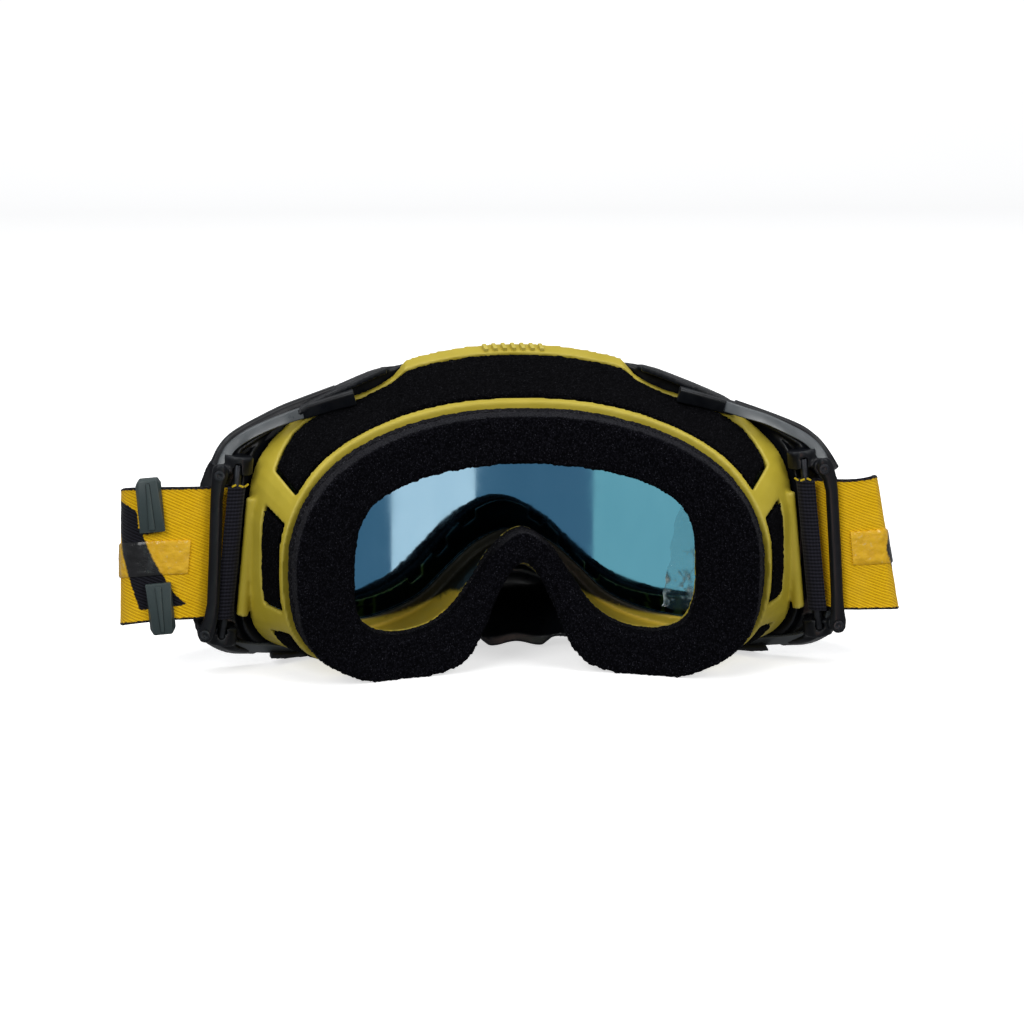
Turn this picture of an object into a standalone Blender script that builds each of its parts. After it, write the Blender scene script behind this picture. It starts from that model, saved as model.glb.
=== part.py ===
"""Motorcycle goggles: face frame, lens, outer frame with outriggers, foams, strap and its fittings.

Run it with blender --background --python part.py. Sizes are in millimetres, turned into metres by MM.
+X is the wearer's left, -Y the way the wearer looks, +Z up. The lens is at -Y and the face foam at +Y.
"""

import math

import bmesh
import bpy
from mathutils import Matrix, Vector

MM = 0.001

# --- driving dimensions, mm ---------------------------------------------------------------------
LENS_RADIUS = 105.0  # cylinder that the lens is bent to
LENS_DEPTH = 36.0  # lens centre ahead of the flange centre
LENS_BENT_TO = 78.0  # half width past which the lens surface runs on straight
LENS_THICKNESS = 1.0
FACE_RADIUS = 105.0  # curve of the flange, round the wearer's face
WALL = 1.8  # moulded wall of the face frame
BEZEL_WALL = 2.0
GAP = 0.4  # clearance between pieces that touch on the real object

STRAP_WIDTH = 41.5
STRAP_THICKNESS = 1.2
STRAP_LOW = 17.7  # bottom edge of the strap at the outriggers
STRAP_FRONT_LOW = 0.0  # bottom edge where the strap lies on the table in front
LEAN = 0.11  # the strap bars lean out by this much for each mm down
LEAN_LEVEL = 38.5  # height where the lean is zero

PIN_X, PIN_Y, PIN_RADIUS = 90.2, 12.2, 1.3
PIN_LOW, PIN_HIGH = 11.5, 65.5
KEEPER_X = 95.4
KEEPER_SCREWS = {"upper": 63.1, "lower": 13.7}
KEEPER_BACK = 15.2  # the face of the keeper that looks at the strap
KEEPER_THICKNESS = 2.0
SCREW_RADIUS, SCREW_HEAD_RADIUS, SCREW_HEAD_HEIGHT = 0.9, 1.6, 1.2

FOAM_BASE = (2.0, 7.8)  # depth of the grey base layer behind the flange
FOAM_FACE = (8.3, 16.8)  # depth of the black face layer
VENT_FOAM_THICKNESS = 2.2

ORIGIN_SHIFT = (-2.6, 13.5, 0)  # brings the middle of the whole object's footprint over the origin

STATIONS = 16  # a half outline runs from station 0, top middle, to station 16, over the nose
STEPS = 4  # columns for each station

# --- half outlines seen from behind: (station, x, z) ----------------------------------------------
FLANGE_OUTER = [
    (0, 0, 82.0), (1, 16.5, 81.4), (2, 33, 78.7), (3, 48.5, 73.7), (4, 60.8, 66.2), (5, 68.6, 56.6),
    (6, 72.7, 46.3), (7, 73.8, 36), (8, 73.2, 25), (9, 70.8, 16), (10, 64, 7.6), (11, 50.5, 3),
    (12, 33, 3.4), (13, 20.5, 8.5), (14, 13, 18), (15, 7, 27.5), (16, 0, 32),
]
FLANGE_INNER = [
    (0, 0, 68.5), (1, 16, 67.6), (2, 29.5, 65.2), (3, 40.5, 61.4), (4, 48, 56), (5, 52, 49),
    (6, 53.3, 41.5), (7, 53.6, 33.5), (8, 53.3, 25), (9, 50.6, 17), (10, 44.5, 13), (11, 36, 12.4),
    (12, 28, 14.6), (13, 21.5, 19.8), (14, 15.3, 28.6), (15, 8.5, 38.4), (16, 0, 43.5),
]
FOAM_OUTER = [
    (0, 0, 80.6), (1, 15.5, 80), (2, 30, 77.6), (3, 45, 72.4), (4, 57, 65.2), (5, 64.9, 56.3),
    (6, 68.6, 46.5), (7, 69.5, 37), (8, 69, 26.5), (9, 66.8, 16), (10, 60, 6.8), (11, 46.5, -0.4),
    (12, 29.5, -0.6), (13, 17.2, 4.2), (14, 10.8, 16.5), (15, 5.4, 29), (16, 0, 35),
]
FOAM_INNER = [
    (0, 0, 65), (1, 15.5, 64.2), (2, 28, 62.3), (3, 38.5, 59.2), (4, 46.3, 54.6), (5, 50.3, 48.3),
    (6, 51.8, 41), (7, 52.2, 33), (8, 52, 24.5), (9, 49.7, 17.3), (10, 44, 13.9), (11, 36.5, 13.2),
    (12, 28.5, 15.2), (13, 21.5, 19.9), (14, 15.2, 28.6), (15, 8.4, 38.9), (16, 0, 44.8),
]
FRONT_OUTER = [
    (0, 0, 95.6), (1, 16, 94.8), (2, 31, 92.4), (2.25, 34.6, 91.4), (2.5, 38.5, 87), (3, 48, 82.2),
    (4, 68.5, 77), (5, 81, 66.5), (6, 85, 53.5), (7, 85.6, 41), (8, 85.6, 27), (9, 83.8, 14.2),
    (10, 75.5, 6.2), (11, 57.5, 4.6), (12, 41.5, 6.6), (13, 28.5, 12), (14, 18.5, 21), (15, 9.5, 28.6),
    (16, 0, 32),
]
BEZEL_OUTER = [
    (0, 0, 94), (1, 16, 93.3), (2, 31, 91.3), (2.5, 40, 89.8), (3, 50, 86.6), (3.75, 64, 81.2),
    (4, 67.5, 79.3), (4.25, 71, 77), (5, 82.2, 68.8), (6, 86.2, 55), (7, 87, 41), (8, 86.8, 26.5),
    (9, 85.2, 12.4), (10, 77, 3.8), (11, 57.8, 1.8), (12, 41, 3.2), (13, 27.5, 7.6), (14, 18, 14.8),
    (15, 9, 21), (16, 0, 23.6),
]

# The part of the wall, from flange to front, that a vent window takes, by station.
WINDOW_END = [
    (0, 0.87), (2.25, 0.87), (2.75, 0.95), (3.5, 0.95), (4.25, 0.86), (5, 0.66), (6, 0.6), (16, 0.55),
]
WINDOW_START = 0.06
WINDOWS = {"top": (0, 5), "side": (5.75, 8.25), "low": (9, 10.25), "cheek": (11, 12.5)}
NOTCHES = [(12.75, 13.25), (13.75, 14.25), (14.75, 15.25)]  # gaps between the tabs by the nose


# --- small helpers --------------------------------------------------------------------------------
def between(table, u):
    """Linear reading of a (station, value) table."""
    for (a, va), (b, vb) in zip(table, table[1:]):
        if u <= b:
            return va + (vb - va) * (u - a) / (b - a)
    return table[-1][1]


def smooth(low, high, value):
    """0 at low, 1 at high, with level ends."""
    t = min(1.0, max(0.0, (value - low) / (high - low)))
    return t * t * (3 - 2 * t)


def hermite(knots, u):
    """A smooth curve through knots (u, x, y, ...) read at u."""
    last = len(knots) - 2
    i = next((n for n in range(last) if u <= knots[n + 1][0]), last)

    def slope(n):
        a, b = knots[max(n - 1, 0)], knots[min(n + 1, len(knots) - 1)]
        return [(q - p) / (b[0] - a[0]) for p, q in zip(a[1:], b[1:])]

    a, b = knots[i], knots[i + 1]
    step = b[0] - a[0]
    t = (u - a[0]) / step
    h = (2 * t**3 - 3 * t**2 + 1, t**3 - 2 * t**2 + t, 3 * t**2 - 2 * t**3, t**3 - t**2)
    return [
        h[0] * p + h[1] * step * mp + h[2] * q + h[3] * step * mq
        for p, q, mp, mq in zip(a[1:], b[1:], slope(i), slope(i + 1))
    ]


def half_outline(profile, u):
    """(x, z) of a half outline at station u. Its two ends meet the mirror plane squarely."""
    before, after = profile[1], profile[-2]
    whole = [(-before[0], -before[1], before[2])] + profile
    whole += [(2 * STATIONS - after[0], -after[1], after[2])]
    return hermite(whole, u)


def stations(low=-STATIONS, high=STATIONS):
    """The stations of the columns. Negative stations are on the -X side."""
    count = round((high - low) * STEPS)
    return [low + n / STEPS for n in range(count + 1)]


def outline(profile, us):
    """(x, z) at each station, on both sides."""
    found = []
    for u in us:
        x, z = half_outline(profile, abs(u))
        found.append((math.copysign(x, u), z))
    return found


def shifted(points, distance, closed=True):
    """An outline moved sideways in its own plane: inwards where distance is positive."""
    count = len(points)
    moved = []
    for n, (x, z) in enumerate(points):
        a = points[(n - 1) % count] if closed else points[max(n - 1, 0)]
        b = points[(n + 1) % count] if closed else points[min(n + 1, count - 1)]
        along = Vector((b[0] - a[0], b[1] - a[1])).normalized()
        moved.append((x + distance * along.y, z - distance * along.x))
    return moved


def lens_y(x):
    """Depth of the lens at half width x: a cylinder, then its tangent."""
    bent = min(abs(x), LENS_BENT_TO)
    rise = math.sqrt(LENS_RADIUS**2 - bent**2)
    return LENS_RADIUS - LENS_DEPTH - rise + (abs(x) - bent) * bent / rise


def flange_y(x):
    """Depth of the flange at half width x."""
    return FACE_RADIUS - math.sqrt(FACE_RADIUS**2 - x * x)


def placed(points, depth, offset=0.0, square=False):
    """Outline points put on a depth function, in mm. offset is straight back, or square to the surface."""
    rows = []
    for x, z in points:
        slope = (depth(x + 0.1) - depth(x - 0.1)) / 0.2 if square else 0.0
        scale = offset / math.sqrt(1 + slope * slope)
        rows.append(Vector((x - slope * scale, depth(x) + scale, z)))
    return rows


def blended(first, second, share):
    """Points part of the way from one row to another. share is a number or a list."""
    shares = share if isinstance(share, list) else [share] * len(first)
    return [a.lerp(b, s) for a, b, s in zip(first, second, shares)]


# --- scene ----------------------------------------------------------------------------------------
for old in list(bpy.data.objects):
    bpy.data.objects.remove(old, do_unlink=True)

PARTS = bpy.data.collections.new("motorcycle_goggles")
CUTTERS = bpy.data.collections.new("cutters")
for collection in (PARTS, CUTTERS):
    bpy.context.scene.collection.children.link(collection)

ROOT = bpy.data.objects.new("goggles", None)
ROOT.location = Vector(ORIGIN_SHIFT) * MM
PARTS.objects.link(ROOT)


def material(name, colour, roughness, metallic=0.0, alpha=1.0):
    made = bpy.data.materials.new(name)
    made.use_nodes = True
    shader = made.node_tree.nodes["Principled BSDF"]
    shader.inputs["Base Color"].default_value = (*colour, 1)
    shader.inputs["Roughness"].default_value = roughness
    shader.inputs["Metallic"].default_value = metallic
    shader.inputs["Alpha"].default_value = alpha
    return made


YELLOW = material("yellow_rubber", (0.62, 0.42, 0.03), 0.5)
BLACK = material("black_plastic", (0.02, 0.022, 0.026), 0.35)
GREY_FOAM = material("grey_foam", (0.045, 0.045, 0.05), 0.95)
BLACK_FOAM = material("black_foam", (0.012, 0.012, 0.014), 0.95)
LENS_BLUE = material("blue_lens", (0.1, 0.3, 0.42), 0.05, 0.6, 0.7)
FILM = material("clear_film", (0.75, 0.82, 0.85), 0.1, 0.0, 0.3)
WEBBING = material("yellow_webbing", (0.75, 0.45, 0.02), 0.85)
SILICONE = material("clear_silicone", (0.8, 0.6, 0.2), 0.2, 0.0, 0.5)
STEEL = material("steel", (0.5, 0.5, 0.52), 0.3, 1.0)
SLATE = material("slate_plastic", (0.045, 0.07, 0.07), 0.4)


def add_object(name, mesh, look, collection=PARTS):
    made = bpy.data.objects.new(name, mesh)
    collection.objects.link(made)
    made.parent = ROOT
    if look:
        mesh.materials.append(look)
    if collection is CUTTERS:
        made.hide_render = True
        made.display_type = "WIRE"
    return made


def sheet_mesh(name, rows, cyclic=False, ring=False, keep=None):
    """A grid of faces over rows of points. cyclic closes each row, ring joins the last row to the first."""
    shape = bmesh.new()
    grid = [[shape.verts.new(p * MM) for p in row] for row in rows]
    wide = len(rows[0])
    for i in range(len(rows) if ring else len(rows) - 1):
        upper, lower = grid[i], grid[(i + 1) % len(rows)]
        for j in range(wide if cyclic else wide - 1):
            if keep is None or keep(i, j):
                k = (j + 1) % wide
                shape.faces.new((upper[j], lower[j], lower[k], upper[k]))
    loose = [v for v in shape.verts if not v.link_faces]
    bmesh.ops.delete(shape, geom=loose, context="VERTS")
    if ring:
        bmesh.ops.recalc_face_normals(shape, faces=shape.faces)
    mesh = bpy.data.meshes.new(name)
    shape.to_mesh(mesh)
    shape.free()
    return mesh


def cap(mesh):
    """Closes the open ends of a tube."""
    shape = bmesh.new()
    shape.from_mesh(mesh)
    bmesh.ops.holes_fill(shape, edges=shape.edges, sides=0)
    bmesh.ops.recalc_face_normals(shape, faces=shape.faces)
    shape.to_mesh(mesh)
    shape.free()


def thicken(made, thickness, offset=0.0):
    solid = made.modifiers.new("wall", "SOLIDIFY")
    solid.thickness = thickness * MM
    solid.offset = offset
    solid.use_even_offset = True
    return made


def boolean(made, other, operation):
    step = made.modifiers.new(operation.lower(), "BOOLEAN")
    step.object = other
    step.operation = operation
    return made


def closed_ring(name, sections, look):
    """A solid ring: sections are rows of points round a closed path, joined last to first."""
    return add_object(name, sheet_mesh(name, sections, cyclic=True, ring=True), look)


def box_mesh(name, low, high):
    shape = bmesh.new()
    bmesh.ops.create_cube(shape, size=1)
    low, high = Vector(low) * MM, Vector(high) * MM
    size = high - low
    bmesh.ops.transform(
        shape, matrix=Matrix.Translation((low + high) / 2) @ Matrix.Diagonal((*size, 1)), verts=shape.verts
    )
    mesh = bpy.data.meshes.new(name)
    shape.to_mesh(mesh)
    shape.free()
    return mesh


def rod_mesh(name, start, end, radius, sides=20, end_radius=None):
    """A cylinder or cone between two points in mm."""
    start, end = Vector(start), Vector(end)
    shape = bmesh.new()
    bmesh.ops.create_cone(
        shape,
        cap_ends=True,
        segments=sides,
        radius1=radius * MM,
        radius2=(end_radius if end_radius else radius) * MM,
        depth=(end - start).length * MM,
    )
    turn = Vector((0, 0, 1)).rotation_difference(end - start).to_matrix().to_4x4()
    bmesh.ops.transform(shape, matrix=Matrix.Translation((start + end) / 2 * MM) @ turn, verts=shape.verts)
    mesh = bpy.data.meshes.new(name)
    shape.to_mesh(mesh)
    shape.free()
    return mesh


def leaned(side, x, y, z):
    """A point beside a strap bar: x is measured at LEAN_LEVEL."""
    return Vector((side * (x + LEAN * (LEAN_LEVEL - z)), y, z))


# --- face frame -----------------------------------------------------------------------------------
ROUND = stations()[:-1]  # every column once: the last station is the first again
F_OUTER = outline(FLANGE_OUTER, ROUND)
F_INNER = outline(FLANGE_INNER, ROUND)
FRONT = outline(FRONT_OUTER, ROUND)
SEAT_OFFSET = LENS_THICKNESS / 2 + GAP + WALL / 2  # the lens seat lies this far behind the lens


def wall_row(share, us=None):
    """A row of points on the frame's side wall, share of the way from the flange to the front."""
    us = us or ROUND
    back = placed(outline(FLANGE_OUTER, us), flange_y)
    front = placed(outline(FRONT_OUTER, us), lens_y, SEAT_OFFSET, square=True)
    return blended(back, front, share)


def in_span(u, spans):
    return any(low <= abs(u) <= high for low, high in spans)


def face_frame():
    """Flexible moulding: flange, side wall with vent windows, and the lens seat."""
    ends = [between(WINDOW_END, abs(u)) for u in ROUND]
    rows = [
        placed(F_INNER, flange_y),
        blended(placed(F_INNER, flange_y), placed(F_OUTER, flange_y), 0.25),
        placed(F_OUTER, flange_y),
        wall_row(WINDOW_START),
        wall_row(ends),
        wall_row(1.0),
        placed(shifted(FRONT, 4.6), lens_y, SEAT_OFFSET, square=True),
    ]
    tab_row, window_row = 0, 3

    def keep(i, j):
        middle = ROUND[j] + 0.5 / STEPS
        if i == tab_row:
            return not in_span(middle, NOTCHES)
        return i != window_row or not in_span(middle, WINDOWS.values())

    frame = add_object("face_frame", sheet_mesh("face_frame", rows, cyclic=True, keep=keep), YELLOW)
    thicken(frame, WALL)
    for side, label in ((1, "left"), (-1, "right")):
        rail = rod_mesh(f"rail_{label}", leaned(side, 85, 10.5, 55), leaned(side, 84.6, 10.5, 18), 1.9, 12)
        boolean(frame, add_object(f"rail_{label}", rail, None, CUTTERS), "UNION")
        for number, u in enumerate((1.25, 3.25)):
            rib = inner_rib(f"rib_{label}_{number}", side * u)
            boolean(frame, rib, "UNION")
    return frame


def inner_rib(name, u):
    """A strut under the top vent foam, from the flange to the lens seat."""
    inset, half_width = 2.5, 0.16
    us = [u - half_width, u, u + half_width]
    rows = []
    for share in (0.0, 0.35, 0.7, 1.0):
        row = wall_row(share, us)
        rows.append([p - Vector((0, 0, inset)) - Vector((0.03 * p.x, 0, 0)) for p in row])
    rib = add_object(name, sheet_mesh(name, rows), None, CUTTERS)
    return thicken(rib, 1.5)


# --- lens and outer frame -------------------------------------------------------------------------
def lens_sheet(name, rim, look, thickness, offset=0.0, columns=40):
    """A sheet bent to the lens cylinder, with the given (x, z) rim."""
    reach, low, high = 90.0, -5.0, 105.0
    xs = [-reach + 2 * reach * n / columns for n in range(columns + 1)]
    rows = [[Vector((x, lens_y(x) + offset, z)) for x in xs] for z in (low, high)]
    made = add_object(name, sheet_mesh(name, rows), look)
    thicken(made, thickness)
    prism = [[Vector((x, y, z)) for x, z in rim] for y in (-60.0, 60.0)]
    mesh = sheet_mesh(name + "_outline", prism, cyclic=True)
    cap(mesh)
    cutter = add_object(name + "_outline", mesh, None, CUTTERS)
    return boolean(made, cutter, "INTERSECT")


def lens():
    return lens_sheet("lens", shifted(FRONT, 1.4), LENS_BLUE, LENS_THICKNESS)


def lens_film():
    """The clear protective film that is left on the inside of the right eye."""
    inside = 1.35
    rim = [(x, z) for x, z in shifted(FRONT, 6.5) if x < -46 and z < 74]
    return lens_sheet("lens_film", rim, FILM, 0.25, inside)


def outer_frame():
    """Stiff black bezel in front of the lens, with a skirt at its corners and below, and two side arms."""
    outer = outline(BEZEL_OUTER, ROUND)
    front = -(LENS_THICKNESS / 2 + GAP + BEZEL_WALL / 2)
    skirt = [(0, 0), (2, 3), (2.5, 7), (3, 10), (4, 11), (9, 9), (16, 9)]
    edge = placed(outer, lens_y, front, square=True)
    back = [p + Vector((0, between(skirt, abs(u)), 0)) for p, u in zip(edge, ROUND)]
    rows = [placed(shifted(FRONT, 3.4), lens_y, front, square=True), edge, back]
    skirt_row = 1
    skirts = [(2.5, 4.0), (10, 16)]

    def keep(i, j):
        return i != skirt_row or in_span(ROUND[j] + 0.5 / STEPS, skirts)

    frame = add_object("outer_frame", sheet_mesh("outer_frame", rows, cyclic=True, keep=keep), BLACK)
    thicken(frame, BEZEL_WALL)
    for side, label in ((1, "left"), (-1, "right")):
        boolean(frame, side_arm(side, label), "UNION")
        add_bar_mounts(frame, side, label)
    return frame


SIDE_ARM = [  # outer edge of the side arm: (place, x, z)
    (0, 64, 81.4), (1, 75, 77), (2, 86, 72.3), (2.5, 92.8, 69), (3, 97.8, 63), (4, 101, 50), (5, 102.4, 31),
    (6, 102.8, 18.5), (6.5, 100.4, 10), (7, 93.5, 5), (8, 84, 3.4),
]
# The bezel station that each place joins.
ARM_ROOT = [(0, 3.7), (1, 4.25), (2, 4.75), (3, 5.6), (6, 8.6), (7, 9.25), (8, 9.8)]
ARM_RIDGE = [(0, 1.5), (1, 5), (2, 6.5), (2.5, 6), (2.9, 1.6), (6.0, 1.6), (6.5, 5), (7, 5), (8, 1.5)]
ARM_SECTION = [  # (share of the way in to the bezel, share of the ridge, mm back)
    (0, 0, 0.9), (0.24, 1, 0.9), (0.42, 1.1, 0.9), (0.58, 0, 1.3), (1, 0, 0.75), (1, 0, -0.75),
    (0.5, 0, -1.4),
    (0.05, 0, -1.0),
]


def side_arm(side, label):
    """Hoop that stands out from the bezel: a ridge round its edge and a thin panel inside."""
    rows = []
    for n in range(8 * 6 + 1):
        u = n / 6
        x, z = hermite(SIDE_ARM, u)
        edge = Vector((x, min(lens_y(x) - 3.4, 0.5 + 0.28 * (x - 88)) if x > 80 else lens_y(x) - 3.4, z))
        bx, bz = half_outline(BEZEL_OUTER, between(ARM_ROOT, u))
        inward = Vector((bx - 50, bz - 40)).normalized() * -1.5
        root = Vector((bx + inward.x, lens_y(bx + inward.x) - 2.6, bz + inward.y))
        ridge = between(ARM_RIDGE, u)
        row = []
        for share, height, back in ARM_SECTION:
            point = edge.lerp(root, share)
            row.append(Vector((side * point.x, point.y + ridge * height + back, point.z)))
        rows.append(row)
    name = f"side_arm_{label}"
    mesh = sheet_mesh(name, rows, cyclic=True)
    cap(mesh)
    return add_object(name, mesh, None, CUTTERS)


def add_bar_mounts(frame, side, label):
    """Lugs for the strap pin, and bosses for the keeper's screws, on one side arm."""
    for place, low, high in (("upper", PIN_HIGH - 3.2, 68), ("lower", 9, PIN_LOW + 3.2)):
        name = f"lug_{place}_{label}"
        start, end = leaned(side, PIN_X, PIN_Y - 3, low), leaned(side, PIN_X, PIN_Y - 3, high)
        lug = rod_mesh(name, start, end, 4.6, 16)
        boolean(frame, add_object(name, lug, None, CUTTERS), "UNION")
    for place, z in KEEPER_SCREWS.items():
        name = f"boss_{place}_{label}"
        start, end = leaned(side, KEEPER_X, 0.5, z), leaned(side, KEEPER_X, KEEPER_BACK - GAP, z)
        boss = rod_mesh(name, start, end, 2.6, 16)
        boolean(frame, add_object(name, boss, None, CUTTERS), "UNION")
    name = f"pin_hole_{label}"
    start, end = leaned(side, PIN_X, PIN_Y, PIN_LOW - 0.4), leaned(side, PIN_X, PIN_Y, PIN_HIGH + 0.4)
    hole = rod_mesh(name, start, end, PIN_RADIUS + 0.35)
    boolean(frame, add_object(name, hole, None, CUTTERS), "DIFFERENCE")
    for place, z in KEEPER_SCREWS.items():
        name = f"screw_hole_{place}_{label}"
        start, end = leaned(side, KEEPER_X, 6, z), leaned(side, KEEPER_X, KEEPER_BACK + 3, z)
        bore = rod_mesh(name, start, end, SCREW_RADIUS + 0.25, 14)
        boolean(frame, add_object(name, bore, None, CUTTERS), "DIFFERENCE")


def keeper(side, label):
    """Thin bar that traps the strap against the outrigger, with an eye for a screw at each end."""
    name = f"strap_keeper_{label}"
    high, low = KEEPER_SCREWS["upper"], KEEPER_SCREWS["lower"]
    back, face = KEEPER_BACK, KEEPER_BACK + KEEPER_THICKNESS
    corners = ((-1.1, back), (1.1, back), (1.1, face), (-1.1, face))
    bar = [[leaned(side, KEEPER_X + dx, y, z) for z in (low, high)] for dx, y in corners]
    mesh = sheet_mesh(name, bar, ring=True)
    cap(mesh)
    made = add_object(name, mesh, BLACK)
    for number, z in enumerate((low, high)):
        start, end = leaned(side, KEEPER_X, back, z), leaned(side, KEEPER_X, face, z)
        swell = Vector((0, 0.15, 0))
        eye = rod_mesh(f"eye_{label}_{number}", start - swell, end + swell, 2.3, 20)
        boolean(made, add_object(eye.name, eye, None, CUTTERS), "UNION")
    for number, z in enumerate((low, high)):
        start, end = leaned(side, KEEPER_X, back - 2, z), leaned(side, KEEPER_X, face + 2, z)
        bore = rod_mesh(f"eye_hole_{label}_{number}", start, end, SCREW_RADIUS + 0.25, 14)
        boolean(made, add_object(bore.name, bore, None, CUTTERS), "DIFFERENCE")
    return made


def screw(side, label, place, z):
    name = f"keeper_screw_{place}_{label}"
    face = KEEPER_BACK + KEEPER_THICKNESS + 0.3
    start, end = leaned(side, KEEPER_X, 7, z), leaned(side, KEEPER_X, face + 0.5, z)
    shank = rod_mesh(name, start, end, SCREW_RADIUS, 14)
    made = add_object(name, shank, STEEL)
    start, end = leaned(side, KEEPER_X, face, z), leaned(side, KEEPER_X, face + SCREW_HEAD_HEIGHT, z)
    head = rod_mesh(name + "_head", start, end, SCREW_HEAD_RADIUS)
    boolean(made, add_object(head.name, head, None, CUTTERS), "UNION")
    start, end = leaned(side, KEEPER_X, face + 0.5, z), leaned(side, KEEPER_X, face + 3, z)
    socket = rod_mesh(name + "_socket", start, end, 0.8, 6)
    return boolean(made, add_object(socket.name, socket, None, CUTTERS), "DIFFERENCE")


def strap_pin(side, label):
    name = f"strap_pin_{label}"
    start, end = leaned(side, PIN_X, PIN_Y, PIN_LOW), leaned(side, PIN_X, PIN_Y, PIN_HIGH)
    return add_object(name, rod_mesh(name, start, end, PIN_RADIUS), STEEL)


def nose_guard():
    """Shield that clips on below the nose arch of the bezel."""
    rows = []
    levels = [  # (height, half width, depth)
        (28, 8, -41.6), (24, 9.5, -42), (16.4, 11.5, -42), (12, 12.8, -37), (7.5, 13.4, -32),
        (3.4, 13, -27.5),
    ]
    for z, half, front in levels:
        row = []
        for n in range(13):
            x = half * (n - 6) / 6
            row.append(Vector((x, front + 0.02 * x * x, z)))
        rows.append(row)
    foot = [Vector((p.x, p.y + 0.4, 0.8 if abs(p.x) < 8.5 else p.z - 0.5)) for p in rows[-1]]
    rows.append(foot)
    made = add_object("nose_guard", sheet_mesh("nose_guard", rows), BLACK)
    return thicken(made, 1.8)


# --- foams ----------------------------------------------------------------------------------------
def foam_layer(name, depths, look):
    """One layer of the face foam: a ring whose outlines change from the flange's to the face's."""
    seat_outer, seat_inner = shifted(F_OUTER, 0.8), shifted(F_INNER, 0.4)
    face_outer, face_inner = outline(FOAM_OUTER, ROUND), outline(FOAM_INNER, ROUND)
    full = FOAM_FACE[1]

    def row(seat, face, depth):
        share = depth / full
        flat = [(a[0] + (b[0] - a[0]) * share, a[1] + (b[1] - a[1]) * share) for a, b in zip(seat, face)]
        return placed(flat, flange_y, depth)

    near, far = depths
    sections = [
        row(seat_outer, face_outer, near),
        row(seat_outer, face_outer, far),
        row(seat_inner, face_inner, far),
        row(seat_inner, face_inner, near),
    ]
    return closed_ring(name, sections, look)


def vent_foam(name, low, high, thickness=VENT_FOAM_THICKNESS):
    """A strip of foam that fills a window in the side wall."""
    margin = 0.08
    us = stations(low, high)
    us[0], us[-1] = us[0] + margin, us[-1] - margin
    ends = [between(WINDOW_END, abs(u)) - 0.035 for u in us]
    rows = [wall_row(WINDOW_START + 0.035, us), wall_row(ends, us)]
    made = add_object(name, sheet_mesh(name, rows), BLACK_FOAM)
    return thicken(made, thickness)


# --- strap ----------------------------------------------------------------------------------------
LOOP = PIN_RADIUS + 0.35 + STRAP_THICKNESS / 2  # centreline radius round the pin
BENDS = {1: (123.4, 0.03), -1: (114.4, 0.2)}  # how far out each bend lies, and its lean, by side
HALF_STRAP = [(PIN_X + 2.4, 1), (PIN_X, 1)]  # plan: (x, y), where 1 and -1 are the rear and front of the pin
HALF_STRAP += [(PIN_X - LOOP * math.sin(n * math.pi / 4), math.cos(n * math.pi / 4)) for n in (1, 2, 3)]
HALF_STRAP += [(PIN_X, -1)]
HALF_STRAP = [(x, PIN_Y + LOOP * y) for x, y in HALF_STRAP]
HALF_STRAP += [
    (92.8, 10.6), (95.6, 12.0), (98.8, 13.1), (102.5, 13.6), (107.5, 13.6), (112.5, 13.6), (117.3, 13.2),
    (121, 10.2), (122.2, 4.6), (120.5, -2.5), (115, -11), (106, -21), (93, -33), (76, -46), (54, -58),
    (28, -66.5), (0, -69.5),
]
AT_BEND = 14  # place of the bend along HALF_STRAP
BARE = 9  # place where the strap leaves the keeper
NEAR_Y = 13.6  # depth of the layer next to the helmet


def half_strap(side):
    """Knots of one half of the strap, from its sewn end behind the pin to the middle."""
    pull = BENDS[side][0] - HALF_STRAP[AT_BEND][0]
    knots = []
    for n, (x, y) in enumerate(HALF_STRAP):
        share = smooth(BARE, AT_BEND, n) * (1 - smooth(AT_BEND, AT_BEND + 5, n))
        knots.append((side * (x + pull * share), y))
    return knots


def strap_line(offset=0.0, first=0, steps=4):
    """Points along the strap, from the left sewn end to the right one: (x, y, place from the nearer end)."""
    places = 2 * (len(HALF_STRAP) - 1)
    path = half_strap(1) + half_strap(-1)[-2::-1]
    knots = [(n, *point) for n, point in enumerate(path)]
    found = []
    for n in range((places - 2 * first) * steps + 1):
        t = first + n / steps
        x, y = hermite(knots, t)
        ahead, behind = hermite(knots, min(t + 0.02, places)), hermite(knots, max(t - 0.02, 0))
        along = Vector((ahead[0] - behind[0], ahead[1] - behind[1])).normalized()
        found.append((x - offset * along.y, y + offset * along.x, min(t, places - t)))
    return found


def strap_rows(line, low, high):
    """Bottom and top rows of a band on the strap, low and high above its bottom edge."""
    slope = (STRAP_LOW - STRAP_FRONT_LOW) / (NEAR_Y - HALF_STRAP[-1][1])
    rows = []
    for level in (low, high):
        row = []
        for x, y, t in line:
            side = 1 if x > 0 else -1
            bottom = STRAP_LOW - (slope * (NEAR_Y - y) if t > BARE + 1 else 0)
            z = bottom + level
            lean = LEAN + (BENDS[side][1] - LEAN) * smooth(BARE, AT_BEND, t)
            lean *= 1 - smooth(AT_BEND, AT_BEND + 5, t)
            row.append(Vector((x + side * lean * (LEAN_LEVEL - z), y, z)))
        rows.append(row)
    return rows


def strap():
    made = add_object("strap", sheet_mesh("strap", strap_rows(strap_line(), 0, STRAP_WIDTH)), WEBBING)
    return thicken(made, STRAP_THICKNESS)


def silicone_grip():
    """Clear silicone band printed on the side of the strap that lies on the helmet."""
    line = strap_line(offset=STRAP_THICKNESS / 2 + 0.35 + 0.2, first=BARE)
    rows = strap_rows(line, 14.5, 25)
    return thicken(add_object("silicone_grip", sheet_mesh("silicone_grip", rows), SILICONE), 0.4)


SLIDER_X, SLIDER_Z = 112.8, 37.6
SLIDER_TILT = math.radians(4.5)


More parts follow.
